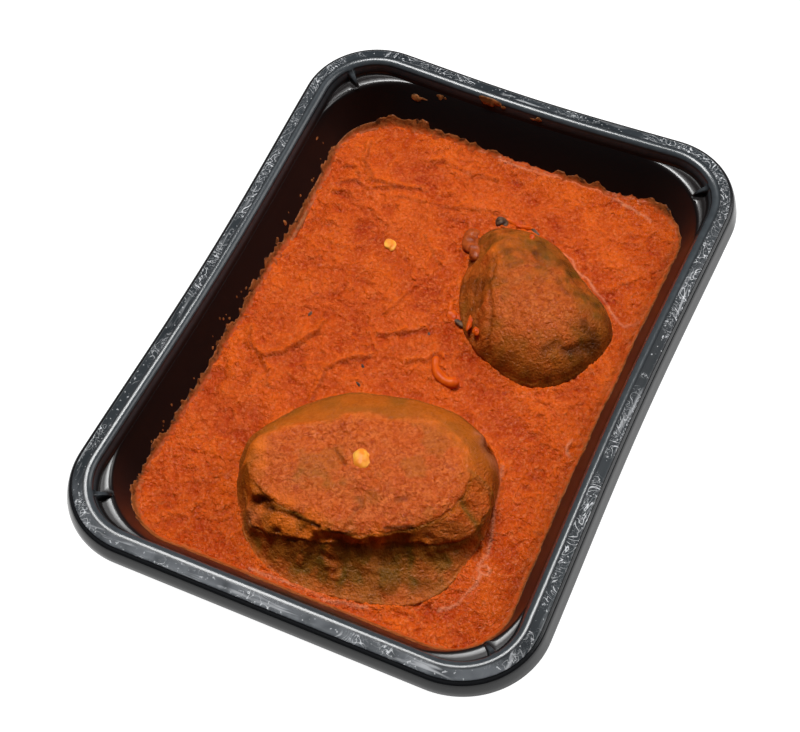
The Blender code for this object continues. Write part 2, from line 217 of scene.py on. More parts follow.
edge = FLANGE_CORNER
tray_stations = [
    (23.6, 0.8, 7.2, 0.0), (22.2, 0.87, 8.0, 0.0), (20.9, 1.1, 9.0, 0.0), (19.9, 1.55, 9.9, 0.0),
    (19.0, 2.3, 10.6, 0.0), (18.3, 3.3, 11.2, 0.0), (17.8, 4.6, 11.6, 0.0), (16.95, 7.0, 12.3, 0.0),
    (16.2, 9.0, 13.0, 0.0), (14.1, 14.6, 14.8, 0.0), (11.9, 20.2, 16.6, 0.0), (10.7, 23.1, 18.1, 0.0),
    (9.5, 26.0, 19.6, 0.0), (8.4, 28.8, 21.7, 0.0), (7.68, 30.75, 23.1, 0.0), (7.5, 31.15, 23.5, 0.0),
    (7.4, 31.4, 23.4, 0.0), (7.33, 31.58, 23.0, 0.0), (7.28, 31.72, 22.4, 0.2), (7.24, 31.79, 21.6, 0.6),
    (7.2, 31.81, 18.8, 2.4), (7.18, 31.83, 16.6, RIB_DEPTH), (7.15, 31.88, 15.9, RIB_DEPTH),
    (7.1, 32.02, 15.45, RIB_DEPTH), (7.0, 32.3, edge - 7.0, RIB_DEPTH), (6.82, 32.75, edge - 6.82, 3.15),
    (6.52, 33.6, edge - 6.52, 2.4), (6.32, 34.25, edge - 6.32, 1.2),
    (6.1, 34.9, edge - 6.1, 0.2), (5.9, 35.26, edge - 5.9, 0.0), (5.6, 35.57, edge - 5.6, 0.0),
    (5.2, 35.79, edge - 5.2, 0.0), (4.75, 35.93, edge - 4.75, 0.0), (4.3, 35.98, edge - 4.3, 0.0),
    (3.8, 35.96, edge - 3.8, 0.0), (3.3, 35.88, edge - 3.3, 0.0), (2.8, 35.77, edge - 2.8, 0.0),
    (2.3, 35.66, edge - 2.3, 0.0), (1.85, 35.56, edge - 1.85, 0.0), (1.45, 35.49, edge - 1.45, 0.0),
    (1.1, 35.43, edge - 1.1, 0.0), (0.92, 35.37, edge - 0.92, 0.0), (0.76, 35.27, edge - 0.76, 0.0),
    (0.64, 35.12, edge - 0.64, 0.0), (0.48, 35.06, edge - 0.48, 0.0), (0.25, 35.03, edge - 0.25, 0.0),
    (-0.05, 34.9, edge + 0.05, 0.0), (-0.36, 34.5, edge + 0.36, 0.0), (-0.62, 33.8, edge + 0.62, 0.0),
    (-0.85, 33.0, edge + 0.85, 0.0), (-1.12, 32.1, edge + 1.12, 0.0), (-1.45, 31.1, edge + 1.45, 0.0),
    (-1.75, 30.1, edge + 1.75, 0.0),
    (-0.95, 30.1, edge + 0.95, 0.0), (-0.3, 32.3, edge + 0.3, 0.0), (0.25, 33.7, edge - 0.25, 0.0),
    (0.9, 34.3, edge - 0.9, 0.0), (4.3, 34.5, edge - 4.3, 0.0), (5.2, 34.3, edge - 5.2, 0.1),
    (5.7, 33.2, edge - 5.7, RIB_DEPTH - 1.0), (6.2, 31.0, edge - 6.2, RIB_DEPTH), (6.5, 30.65, 24.3, 0.0),
    (8.65, 25.7, 20.4, 0.0), (11.0, 20.0, 17.4, 0.0), (15.3, 8.8, 13.8, 0.0), (16.9, 4.3, 12.4, 0.0),
    (18.2, 1.7, 11.3, 0.0), (20.2, 0.35, 9.6, 0.0), (22.6, 0.0, 8.0, 0.0),
]
first = tray_stations[0]
tray = start_loop("tray_sheet", tray_loop(*first), "NGON")
for station in tray_stations[1:]:
    lay_loop(tray, tray_loop(*station))
close_shape(tray)
bpy.ops.object.shade_smooth_by_angle(angle=math.radians(50.0))


def paint_on(thing, name, values):
    """Paints one value on each corner of a piece's mesh, for its material to read."""
    layer = thing.data.attributes.new(name, "FLOAT", "POINT")
    layer.data.foreach_set("value", values.tolist())


# Where the tray's looks change: the flange that the film was sealed to, the inner wall, the bead inside the flange,
# the shelves' edges in the four corners, the two end sides, and the flange at the near end
UPPER_STATIONS = 52
tray_places = np.array([vert.co[:] for vert in tray.data.vertices]) / MM
inset_at = {round(z, 2): inset for inset, z, corner, rib in tray_stations[:UPPER_STATIONS]}
inset_there = np.array([inset_at.get(round(z, 2), 0.0) for z in tray_places[:, 2]])
sealed = ((inset_there > 0.8) & (inset_there < 3.7) & (tray_places[:, 2] > 35.2)).astype(float)
paint_on(tray, "sealed", sealed)
paint_on(tray, "inner", smooth_step(5.9, 6.5, inset_there))
paint_on(tray, "bead", smooth_step(3.4, 4.4, inset_there) * smooth_step(6.9, 6.3, inset_there))
on_shelf_edge = (inset_there > 7.2) & (inset_there < 7.35) | (inset_there > 6.9) & (inset_there < 7.12)
along_tray = np.abs(tray_places[:, 0])
across_tray = np.abs(tray_places[:, 1])
paint_on(tray, "shelf_edge", on_shelf_edge * smooth_step(62.0, 68.0, along_tray) * smooth_step(36.0, 42.0, across_tray))
paint_on(tray, "end_side", smooth_step(-8.0, 8.0, along_tray - across_tray - 25.0))
paint_on(tray, "near_end", smooth_step(-74.0, -86.0, tray_places[:, 0]) * sealed)


def paint(red, green, blue):
    """A colour given as it looks on a screen, 0 to 255, as a shader wants it."""
    return tuple(
        c / 12.92 if c <= 0.04045 else ((c + 0.055) / 1.055) ** 2.4
        for c in (red / 255.0, green / 255.0, blue / 255.0)
    ) + (1.0,)


class Finish:
    """A material of one piece, with short ways to add the nodes that it needs."""

    def __init__(self, name, roughness, specular):
        self.material = bpy.data.materials.new(name)
        self.material.use_nodes = True
        self.tree = self.material.node_tree
        self.shader = self.tree.nodes["Principled BSDF"]
        self.shader.inputs["Roughness"].default_value = roughness
        self.shader.inputs["Specular IOR Level"].default_value = specular
        self.coordinates = self.tree.nodes.new("ShaderNodeTexCoord").outputs["Object"]

    def join(self, value, socket):
        """Links an output, or sets a plain value."""
        if isinstance(value, bpy.types.NodeSocket):
            self.tree.links.new(value, socket)
        else:
            socket.default_value = value

    def moved(self, offset, stretch=(1.0, 1.0, 1.0)):
        """Object coordinates moved, and stretched along each axis."""
        mapping = self.tree.nodes.new("ShaderNodeMapping")
        self.join(self.coordinates, mapping.inputs["Vector"])
        mapping.inputs["Location"].default_value = offset
        mapping.inputs["Scale"].default_value = stretch
        return mapping.outputs["Vector"]

    def noise(self, size, detail=2.0, twist=0.0, offset=(0.0, 0.0, 0.0), stretch=(1.0, 1.0, 1.0)):
        """Noise whose lumps are about the given size in millimetres."""
        texture = self.tree.nodes.new("ShaderNodeTexNoise")
        self.join(self.moved(offset, stretch), texture.inputs["Vector"])
        texture.inputs["Scale"].default_value = 1000.0 / size
        texture.inputs["Detail"].default_value = detail
        texture.inputs["Distortion"].default_value = twist
        return texture.outputs["Fac"]

    def between(self, value, low, high, bottom=0.0, top=1.0):
        """A value's range mapped to another, and held inside it."""
        span = self.tree.nodes.new("ShaderNodeMapRange")
        self.join(value, span.inputs["Value"])
        span.inputs["From Min"].default_value = low
        span.inputs["From Max"].default_value = high
        span.inputs["To Min"].default_value = bottom
        span.inputs["To Max"].default_value = top
        return span.outputs["Result"]

    def calc(self, operation, a, b):
        """Two values put together by a sum."""
        node = self.tree.nodes.new("ShaderNodeMath")
        node.operation = operation
        self.join(a, node.inputs[0])
        self.join(b, node.inputs[1])
        return node.outputs["Value"]

    def times(self, a, b):
        """One value multiplied by another."""
        return self.calc("MULTIPLY", a, b)

    def mix(self, share, a, b):
        """Colour a where the share is 0 and colour b where it is 1."""
        node = self.tree.nodes.new("ShaderNodeMix")
        node.data_type = "RGBA"
        self.join(share, node.inputs["Factor"])
        self.join(a, node.inputs["A"])
        self.join(b, node.inputs["B"])
        return node.outputs["Result"]

    def painted(self, name):
        """A value painted on the piece's mesh."""
        node = self.tree.nodes.new("ShaderNodeAttribute")
        node.attribute_name = name
        return node.outputs["Fac"]

    def bump(self, height, depth):
        """Fine relief of the given depth in millimetres."""
        node = self.tree.nodes.new("ShaderNodeBump")
        node.inputs["Distance"].default_value = depth * MM
        self.join(height, node.inputs["Height"])
        self.join(node.outputs["Normal"], self.shader.inputs["Normal"])

    def colour(self, value):
        """Gives the surface its colour."""
        self.join(value, self.shader.inputs["Base Color"])


plastic = Finish("black_plastic", 0.2, 0.5)
wall_share = plastic.painted("inner")
on_flange = plastic.painted("sealed")
# Threads of film are lines where noise crosses its middle value
threads = plastic.calc("SUBTRACT", plastic.noise(8.0, 1.5, 4.5), 0.5)
thread_lines = plastic.between(plastic.calc("ABSOLUTE", threads, 0.0), 0.019, 0.007)
patches = plastic.between(plastic.noise(16.0, 2.0, 0.6, (0.3, 0.1, 0.0)), 0.44, 0.54)
fine_threads = plastic.calc("SUBTRACT", plastic.noise(2.2, 1.0, 2.0, (0.2, 0.6, 0.0)), 0.5)
fine_lines = plastic.between(plastic.calc("ABSOLUTE", fine_threads, 0.0), 0.03, 0.005)
fine_lines = plastic.times(fine_lines, 0.25)
streaks_along = plastic.noise(1.1, 2.0, 0.4, (0.4, 0.0, 0.0), (0.10, 1.0, 1.0))
streaks_across = plastic.noise(1.1, 2.0, 0.4, (0.0, 0.4, 0.0), (1.0, 0.10, 1.0))
streaks_x = plastic.between(streaks_along, 0.56, 0.68)
streaks_y = plastic.between(streaks_across, 0.56, 0.68)
at_end = plastic.painted("end_side")
at_side = plastic.calc("SUBTRACT", 1.0, at_end)
streaks = plastic.calc("ADD", plastic.times(streaks_y, at_end), plastic.times(streaks_x, at_side))
streak_zones = plastic.between(plastic.noise(14.0, 1.0, 0.0, (0.9, 0.5, 0.0)), 0.42, 0.62)
streaks = plastic.times(plastic.times(streaks, streak_zones), 0.55)
flecks = plastic.between(plastic.noise(0.9, 1.0, 0.0, (0.7, 0.2, 0.0)), 0.68, 0.74)
torn = plastic.times(thread_lines, patches)
torn = plastic.calc("MAXIMUM", torn, plastic.times(fine_lines, patches))
torn = plastic.calc("MAXIMUM", torn, streaks)
torn = plastic.calc("MAXIMUM", torn, plastic.times(flecks, 0.7))
torn = plastic.times(torn, on_flange)
# Lighter grey patches on the flange at the near end
near_end_lighter = plastic.between(plastic.noise(7.0, 3.0, 0.6, (0.5, 0.8, 0.0)), 0.34, 0.62, 0.25, 1.0)
near_end_lighter = plastic.times(plastic.times(near_end_lighter, plastic.painted("near_end")), 0.55)
hazy = plastic.between(plastic.noise(30.0, 2.0, 0.3, (0.1, 0.4, 0.0)), 0.38, 0.62)
dusty = plastic.times(hazy, on_flange)
grey = plastic.mix(wall_share, paint(24, 25, 27), paint(24, 20, 20))
grey = plastic.mix(plastic.times(on_flange, 0.75), grey, paint(32, 38, 43))
grey = plastic.mix(plastic.times(dusty, 0.2), grey, paint(84, 90, 95))
# Painted sheen: the bead inside the flange is painted an uneven lighter grey for the soft shine along it
bead_sheen = plastic.between(plastic.noise(2.0, 2.0, 0.3, (0.6, 0.1, 0.0)), 0.3, 0.7, 0.75, 1.0)
grey = plastic.mix(plastic.times(plastic.painted("bead"), bead_sheen), grey, paint(64, 69, 73))
grey = plastic.mix(near_end_lighter, grey, paint(134, 138, 143))
plastic.colour(plastic.mix(torn, grey, paint(214, 216, 219)))
# The flange is scuffed and the inner wall is filmed with grease, so both shine less than the outside
roughness = plastic.between(on_flange, 0.0, 1.0, 0.2, 0.34)
roughness = plastic.calc("ADD", roughness, plastic.times(wall_share, 0.08))
plastic.join(roughness, plastic.shader.inputs["Roughness"])
specular = plastic.between(wall_share, 0.0, 1.0, 0.36, 0.08)
specular = plastic.calc("SUBTRACT", specular, plastic.times(on_flange, 0.1))
specular = plastic.calc("ADD", specular, plastic.times(plastic.painted("shelf_edge"), 0.5))
plastic.join(specular, plastic.shader.inputs["Specular IOR Level"])
plastic.bump(plastic.noise(3.5, 2.0), 0.02)
tray.data.materials.append(plastic.material)
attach(tray, "root")
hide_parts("tray")


# Tomato sauce: a thick, grainy purée that was spooned round the peppers and has set with its folds.
# It fills the tray to its level, with a socket under each pepper, and creeps up a little where it meets them.
SAUCE_LEVEL = 20.2
LARGE_CENTRE = (-45.0, -4.0)
SMALL_CENTRE = (29.0, -23.0)
LARGE_AT_SAUCE = (31.0, 30.5, 30.5, 31.0, 31.5, 32.5, 34.5, 34.0, 33.0, 33.0, 33.0, 31.8,
                  31.0, 31.0, 32.5, 35.0, 36.0, 35.0, 35.0, 35.5, 37.0, 37.5, 35.5, 33.0)
SMALL_AT_SAUCE = (21.5, 24.5, 28.0, 30.5, 28.0, 23.5, 22.0, 21.0, 20.5, 21.0, 21.5, 22.0,
                  23.5, 26.0, 27.0, 26.3, 25.5, 25.0, 24.5, 22.0, 19.2, 17.5, 17.5, 19.0)


def cyclic(values, turn):
    """Values at evenly spaced stations round the circle, with a smooth curve between them."""
    values = np.array(values)
    place = (np.asarray(turn) % 360.0) * len(values) / 360.0
    first_station = np.floor(place).astype(int)
    t = place - first_station
    a, b, c, d = (values[(first_station + step) % len(values)] for step in (-1, 0, 1, 2))
    bend = 2.0 * a - 5.0 * b + 4.0 * c - d + (3.0 * b - a - 3.0 * c + d) * t
    return b + 0.5 * t * (c - a + t * bend)


def lumps(x, y, size, seed):
    """Smooth random swells of about one size in millimetres, between -1 and 1, the same on every run."""
    table = np.random.default_rng(seed).uniform(-1.0, 1.0, (128, 128))
    lean = seed * 0.7 + 0.3
    u = (x * math.cos(lean) - y * math.sin(lean)) / size + 300.0
    v = (x * math.sin(lean) + y * math.cos(lean)) / size + 300.0
    i = np.floor(u).astype(int)
    j = np.floor(v).astype(int)
    a = u - i
    b = v - j
    a = a * a * a * (a * (a * 6.0 - 15.0) + 10.0)
    b = b * b * b * (b * (b * 6.0 - 15.0) + 10.0)
    low = table[i % 128, j % 128] * (1.0 - a) + table[(i + 1) % 128, j % 128] * a
    high = table[i % 128, (j + 1) % 128] * (1.0 - a) + table[(i + 1) % 128, (j + 1) % 128] * a
    return low * (1.0 - b) + high * b


def ridges(x, y, size, seed):
    """Random creases with sharp tops, of about one size, between -0.5 and 0.5."""
    return 0.5 - np.abs(lumps(x, y, size, seed))


def mound(x, y, middle_x, middle_y, wide, deep):
    """1 at a place, falling to 0 round it."""
    return np.exp(-(((x - middle_x) / wide) ** 2 + ((y - middle_y) / deep) ** 2))


def distance_to(x, y, line):
    """Distance from each place to a bent line of points."""
    nearest = np.full(np.shape(x), 1e9)
    for a, b in zip(line[:-1], line[1:]):
        run_x = b[0] - a[0]
        run_y = b[1] - a[1]
        along_run = (x - a[0]) * run_x + (y - a[1]) * run_y
        t = np.clip(along_run / (run_x * run_x + run_y * run_y), 0.0, 1.0)
        nearest = np.minimum(nearest, np.hypot(x - a[0] - run_x * t, y - a[1] - run_y * t))
    return nearest


def groove(x, y, line, width):
    """1 along a bent line, falling to 0 at its sides."""
    return np.exp(-((distance_to(x, y, line) / width) ** 2))


def beyond(x, y, centre, widths):
    """How far each place lies outside a pepper's outline at the sauce's level."""
    dx = x - centre[0]
    dy = y - centre[1]
    return np.hypot(dx, dy) - cyclic(widths, np.degrees(np.arctan2(dy, dx)))


# Each fold of the sauce: its line, its width and its height
folds = (
    (((-7.5, 48.5), (-13.4, 44.9), (-15.6, 40.7), (-12.4, 36.6), (-7.2, 32.9), (-1.8, 29.8), (1.8, 30.2)),
     1.1, 1.5),
    (((-12.0, 45.0), (-10.0, 39.0), (-4.0, 34.5)), 4.0, 0.4),
    (((-23.3, 21.6), (-18.1, 21.9), (-12.9, 22.3), (-8.8, 20.5), (-6.3, 17.0), (-3.6, 13.3)), 1.0, 1.1),
    (((-16.2, 40.4), (-19.1, 37.0), (-23.6, 34.8)), 1.0, 0.8),
    (((67.5, 45.0), (59.7, 43.4), (53.5, 38.5), (53.8, 32.0), (56.3, 24.0)), 1.2, 1.3),
    (((50.0, 47.0), (52.0, 43.0), (50.0, 38.5), (52.5, 33.0)), 1.0, 0.8),
    (((56.0, 49.0), (57.0, 45.5), (54.0, 43.0)), 0.9, 0.8),
    (((46.0, 48.0), (47.5, 44.0), (45.0, 41.0)), 0.9, 0.7),
    (((51.3, 28.3), (53.5, 16.3), (56.4, 4.7), (56.9, -3.1)), 1.3, 0.7),
    (((66.0, 30.0), (68.5, 22.0), (67.0, 12.0), (68.5, 4.0)), 1.4, 0.7),
    (((11.7, 14.8), (17.9, 12.6), (23.8, 11.4)), 0.8, 0.6),
    (((4.6, 14.0), (6.4, 8.0), (11.1, 2.3)), 0.9, 0.8),
    (((41.0, 15.6), (36.2, 11.2), (33.8, 7.6)), 1.1, 0.8),
    (((-1.6, 2.8), (1.2, -2.1), (4.6, -3.3)), 0.9, 0.8),
    (((-16.2, -27.4), (-18.8, -30.9), (-23.1, -35.1)), 1.4, 0.8),
    (((24.0, 42.0), (19.0, 40.0), (14.0, 41.5)), 1.3, 0.6),
)
# Wet edges of the thin sauce that stands round the peppers, painted pale along them as a highlight
wet_edges = (
    ((-76.3, 13.8), (-76.3, 5.0), (-76.1, -1.3), (-76.8, -8.3), (-74.5, -19.3)),
    ((-67.8, -36.5), (-63.7, -40.3), (-56.7, -42.7), (-53.6, -42.2)),
    ((-51.8, -41.4), (-51.2, -43.0), (-52.2, -44.5), (-53.9, -44.2), (-54.3, -42.6), (-53.2, -41.4),
     (-51.8, -41.4)),
    ((-51.8, -40.8), (-48.2, -41.9), (-40.9, -40.2), (-33.7, -38.0), (-28.6, -36.7), (-22.0, -35.5)),
    ((51.4, -19.8), (50.4, -24.0), (48.8, -27.4), (46.1, -29.4), (44.8, -33.6), (39.5, -41.4), (35.2, -46.4),
     (33.6, -49.4), (36.7, -52.4)),
    ((75.4, 6.5), (75.0, -2.0), (75.3, -9.0), (75.9, -16.0), (76.1, -24.0), (75.0, -31.0), (73.4, -38.0),
     (71.4, -43.0)),
    ((-12.0, -50.5), (-9.5, -48.8), (-6.5, -49.5)),
)


def wet_share(x, y):
    """1 on a wet edge of the thin sauce, falling to 0 beside it."""
    share = np.zeros(np.shape(x))
    for line in wet_edges:
        share = np.maximum(share, groove(x + 0.5 * lumps(x, y, 2.5, 43), y, line, 0.4))
    return share * (0.75 + 0.4 * lumps(x, y, 3.0, 44))


def crease_share(x, y):
    """1 in the shaded crease at the near foot of a fold, falling to 0 beside it."""
    share = np.zeros(np.shape(x))
    foot_x = x + 0.8 + 0.5 * lumps(x, y, 3.0, 41)
    foot_y = y + 0.5 + 0.5 * lumps(x, y, 3.0, 42)
    for line, width, height in folds:
        share = np.maximum(share, min(height, 1.0) * groove(foot_x, foot_y, line, 0.55))
    return share


def edge_drop(x, y):
    """How far the sauce sinks towards the left wall and the far left corner."""
    towards_left = smooth_step(44.0, 53.0, y)
    bay = 1.7 * towards_left * np.exp(-(((x - 33.0) / 11.0) ** 2))
    return bay + 0.9 * towards_left + 1.9 * mound(x, y, 76.0, 50.0, 10.0, 12.0)


def calm_top(x, y):
    """Height of the sauce's top without its folds and grain, in millimetres."""
    return SAUCE_LEVEL + 0.45 * np.sin(x * 0.085 + 0.6) * np.cos(y * 0.11 - 0.5) - edge_drop(x, y)


def sauce_top(x, y):
    """Height of the sauce's top, in millimetres."""
    z = calm_top(x, y) + 0.25 * np.sin(x * 0.23 - y * 0.17 + 1.3)
    bend_x = x + 0.5 * lumps(x, y, 3.0, 41)
    bend_y = y + 0.5 * lumps(x, y, 3.0, 42)
    for line, width, height in folds:
        z += height * groove(bend_x, bend_y, line, width)
    warp_x = x + 2.0 * lumps(x, y, 7.0, 1) + 0.8 * lumps(x, y, 3.0, 2)
    warp_y = y + 2.0 * lumps(x, y, 7.0, 3) + 0.8 * lumps(x, y, 3.0, 4)
    z += 0.24 * ridges(warp_x, warp_y, 8.0, 5)
    z += 0.50 * ridges(warp_x, warp_y, 3.2, 6)
    z += 0.70 * ridges(warp_x, warp_y, 6.0, 77)
    rough = 1.0 - 0.45 * smooth_step(0.0, 0.6, lumps(x, y, 15.0, 78))
    z += rough * (0.60 * ridges(warp_x, warp_y, 1.8, 7) + 0.28 * lumps(x + 0.4 * warp_x, y, 1.1, 8))
    z += 0.7 * mound(x, y, 34.0, 23.5, 1.8, 1.8)
    for centre, widths in ((LARGE_CENTRE, LARGE_AT_SAUCE), (SMALL_CENTRE, SMALL_AT_SAUCE)):
        away = np.clip(beyond(x, y, centre, widths), 0.0, 50.0)
        rim = (0.3 + 0.25 * lumps(x, y, 3.0, 9)) * np.exp(-((away / 0.9) ** 2))
        z += rim - 0.15 * np.exp(-(((away - 3.0) / 1.5) ** 2))
    return z + 0.3 * wet_share(x, y) - 0.5 * crease_share(x, y)


def socket_depth(x, y, centre, widths):
    """Height of a pepper's underside over the tray's floor, for the socket that it sits in."""
    dx = x - centre[0]
    dy = y - centre[1]
    share = np.hypot(dx, dy) / cyclic(widths, np.degrees(np.arctan2(dy, dx)))
    return np.interp(share + 0.012, (0.45, 0.65, 0.78, 0.87, 0.94, 1.0), (1.25, 1.95, 4.4, 9.0, 15.0, 19.6))


def inner_wall(z):
    """Inset and corner radius of the tray's inner wall at a height."""
    heights = (1.1, 2.3, 4.6, 9.0, 20.2, 26.0, 31.45, 32.3, 34.9, 35.7)
    insets_there = (20.9, 19.0, 17.8, 16.2, 11.9, 9.5, 7.3, 7.0, 6.1, 5.6)
    corners_there = (9.0, 10.6, 11.6, 13.0, 16.6, 19.6, LOWER_WALL_CORNER, 15.5, 16.4, 16.9)
    return float(np.interp(z, heights, insets_there)), float(np.interp(z, heights, corners_there))


def in_tray(u, v, z, gap):
    """Places a point of a square, -1 to 1 each way, inside the tray's inner wall at a height."""
    inset, corner = inner_wall(z)
    inset += gap
    corner -= gap
    half_x = FLANGE_LENGTH / 2.0 - inset - end_lean(z)
    half_y = FLANGE_WIDTH / 2.0 - inset
    x = u * half_x
    into_corner = np.clip(np.abs(x) - (half_x - corner), 0.0, corner)
    y = v * (half_y - corner + np.sqrt(corner * corner - into_corner * into_corner))
    bend_u = np.clip(x / (FLANGE_LENGTH / 2.0), -1.0, 1.0)
    bend_v = np.clip(y / (FLANGE_WIDTH / 2.0), -1.0, 1.0)
    bow_x = np.where(x > 0.0, -BOW_FAR_END, 0.0) * np.cos(math.pi * bend_v / 2.0) ** 2 * np.abs(bend_u)
    bow_y = np.where(y > 0.0, -BOW_LEFT, BOW_RIGHT) * np.cos(math.pi * bend_u / 2.0) ** 2 * np.abs(bend_v)
    return x + bow_x, y + bow_y


GRID_ALONG = 360
GRID_ACROSS = 240
WALL_LOOPS = (14.0, 9.0, 4.8, 2.8, 1.6, 1.15)
bpy.ops.object.select_all(action="DESELECT")
bpy.ops.mesh.primitive_grid_add(x_subdivisions=GRID_ALONG, y_subdivisions=GRID_ACROSS, size=2.0)
sauce = bpy.context.object
sauce.name = "tomato_sauce"
square = np.array([vert.co[:] for vert in sauce.data.vertices])
paint_on(sauce, "square_u", square[:, 0])
paint_on(sauce, "square_v", square[:, 1])
sauce_x, sauce_y = in_tray(square[:, 0], square[:, 1], SAUCE_LEVEL + 0.6, -0.05)
sauce_z = sauce_top(sauce_x, sauce_y)
relief = sauce_z - calm_top(sauce_x, sauce_y)
for centre, widths in ((LARGE_CENTRE, LARGE_AT_SAUCE), (SMALL_CENTRE, SMALL_AT_SAUCE)):
    inside = -beyond(sauce_x, sauce_y, centre, widths)
    socket = socket_depth(sauce_x, sauce_y, centre, widths)
    sauce_z = np.where(inside > 0.4, np.minimum(sauce_z, socket), sauce_z)
for vert, x, y, z in zip(sauce.data.vertices, sauce_x, sauce_y, sauce_z):
    vert.co = ((x + CENTRING) * MM, y * MM, z * MM)
bpy.ops.object.mode_set(mode="EDIT")
bpy.ops.mesh.select_mode(type="EDGE")
bpy.ops.mesh.select_all(action="SELECT")
bpy.ops.mesh.region_to_loop()
for z in WALL_LOOPS:
    bpy.ops.mesh.extrude_edges_move()
    work = bmesh.from_edit_mesh(sauce.data)
    layer_u = work.verts.layers.float["square_u"]
    layer_v = work.verts.layers.float["square_v"]
    for vert in work.verts:
        if vert.select:
            x, y = in_tray(np.array(vert[layer_u]), np.array(vert[layer_v]), z, 0.1)
            vert.co = ((float(x) + CENTRING) * MM, float(y) * MM, z * MM)
    bmesh.update_edit_mesh(sauce.data)
close_shape(sauce)
bpy.ops.object.shade_smooth()
sauce_sides = np.zeros(len(sauce.data.vertices) - len(relief))
top_values = {
    "crest": relief,
    "crease_shadow": crease_share(sauce_x, sauce_y),
    "wet_edge_highlight": np.clip(wet_share(sauce_x, sauce_y), 0.0, 1.0),
    "along_right_wall": smooth_step(-50.0, -54.0, sauce_y) * smooth_step(-70.0, -50.0, sauce_x),
}
for label, values in top_values.items():
    paint_on(sauce, label, np.concatenate([values, sauce_sides]))

tomato = Finish("tomato_sauce", 0.2, 0.18)
# Painted shade and light: the sauce is darker in the hollows of its relief and lighter on its crests
crest_shading = tomato.between(tomato.painted("crest"), -0.7, 0.9)
base = tomato.mix(crest_shading, paint(170, 48, 2), paint(226, 94, 16))
blotches = tomato.between(tomato.noise(13.0, 3.0, 0.8), 0.38, 0.66)
base = tomato.mix(tomato.times(blotches, 0.3), base, paint(190, 62, 8))
# Pale pinkish flecks: pulp, made paler as painted glints of the wet surface
pulp_and_glints = tomato.between(tomato.noise(0.9, 2.0, 0.6, (0.2, 0.0, 0.0)), 0.50, 0.68)
base = tomato.mix(tomato.times(pulp_and_glints, 0.45), base, paint(230, 126, 64))
dark_specks = tomato.between(tomato.noise(1.2, 2.0, 0.8, (0.0, 0.3, 0.0)), 0.52, 0.68)
base = tomato.mix(tomato.times(dark_specks, 0.32), base, paint(156, 42, 4))
# Browner and darker along the right wall, away from the near end
base = tomato.mix(tomato.times(tomato.painted("along_right_wall"), 0.6), base, paint(140, 62, 20))
# Painted shadow in the crease at the near foot of each fold
base = tomato.mix(tomato.times(tomato.painted("crease_shadow"), 0.42), base, paint(124, 32, 4))
# Painted highlight: a pale line along each wet edge
tomato.colour(tomato.mix(tomato.times(tomato.painted("wet_edge_highlight"), 0.6), base, paint(226, 150, 112)))
tomato.bump(tomato.noise(0.9, 3.0, 0.8), 1.1)
sauce.data.materials.append(tomato.material)
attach(sauce, "root")
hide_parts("sauce")


# Film of sauce on the wall: where the sauce splashed or sank a little, and dried brown in the oven.
# It is a ragged skin that clings to the wall all round, just above the sauce, with a dry fringe at its top.
FILM_LOW = 1.5
FILM_HIGH = 5.5


def wall_loop(z, gap):
    """A fine loop on the inner wall at a height, a gap in from the wall."""
    inset, corner = inner_wall(z)
    return tray_loop(inset + gap, z, corner - gap, corner_steps=110, side_steps=420)


def film_loop(rise, gap):
    """A loop on the inner wall at the film's own height above the sauce, a gap in from the wall."""
    low = wall_loop(SAUCE_LEVEL - FILM_LOW, gap)
    high = wall_loop(SAUCE_LEVEL + FILM_HIGH, gap)
    share = ((rise + FILM_LOW) / (FILM_LOW + FILM_HIGH))[:, None]
    return low * (1.0 - share) + high * share


line_x, line_y = wall_loop(SAUCE_LEVEL, 0.0)[:, :2].T
level_there = sauce_top(line_x, line_y) - SAUCE_LEVEL


def stretch_of(low, high, soft, place):
    """1 between two places along the wall, with soft ends."""
    return smooth_step(low - soft, low + soft, place) * smooth_step(high + soft, high - soft, place)


def uneven(size, seed):
    """Random swells along the wall."""
    return lumps(line_x, line_y, size, seed)


# How far the film reaches up the wall: first all round, then the far end's blobs, the left side and the near end
ragged = 0.45 - 0.35 * smooth_step(40.0, 50.0, line_y) * smooth_step(60.0, 50.0, line_x)
ragged += 0.45 * uneven(5.0, 11) + 0.2 * uneven(1.8, 12) + 0.1 * uneven(0.9, 13)
at_far_end = smooth_step(60.0, 68.0, line_x)
ragged += at_far_end * 2.6 * stretch_of(31.0, 47.5, 0.9, line_y) * (1.0 + 0.2 * uneven(2.2, 14))
ragged -= at_far_end * 1.0 * stretch_of(34.0, 34.8, 0.8, line_y)
ragged += at_far_end * 0.9 * stretch_of(4.0, 31.0, 2.0, line_y) * (0.7 + 0.8 * uneven(3.0, 15))
ragged += at_far_end * 1.5 * stretch_of(-26.5, -11.0, 1.5, line_y) * (0.7 + 0.6 * uneven(2.6, 16))
ragged += at_far_end * 1.1 * stretch_of(-47.0, -40.0, 1.5, line_y)
ragged += 0.9 * stretch_of(56.0, 66.0, 1.5, line_x) * smooth_step(0.0, 5.0, line_y - 44.0)
on_left = smooth_step(45.0, 50.0, line_y) * smooth_step(64.0, 54.0, line_x)
ragged += on_left * (1.9 + 1.0 * uneven(6.0, 79) + 0.8 * uneven(2.2, 80) + 0.6 * uneven(0.9, 86))
ragged += 3.2 * smooth_step(-66.0, -74.0, line_x) * smooth_step(52.0, 40.0, line_y)
ragged += 0.9 * smooth_step(-40.0, -50.0, line_y)
rise = np.clip(level_there + ragged, 0.25, 5.0)
sunk = np.full(len(line_x), -1.4)
film = start_loop("sauce_film", film_loop(sunk, -0.05), "NOTHING")
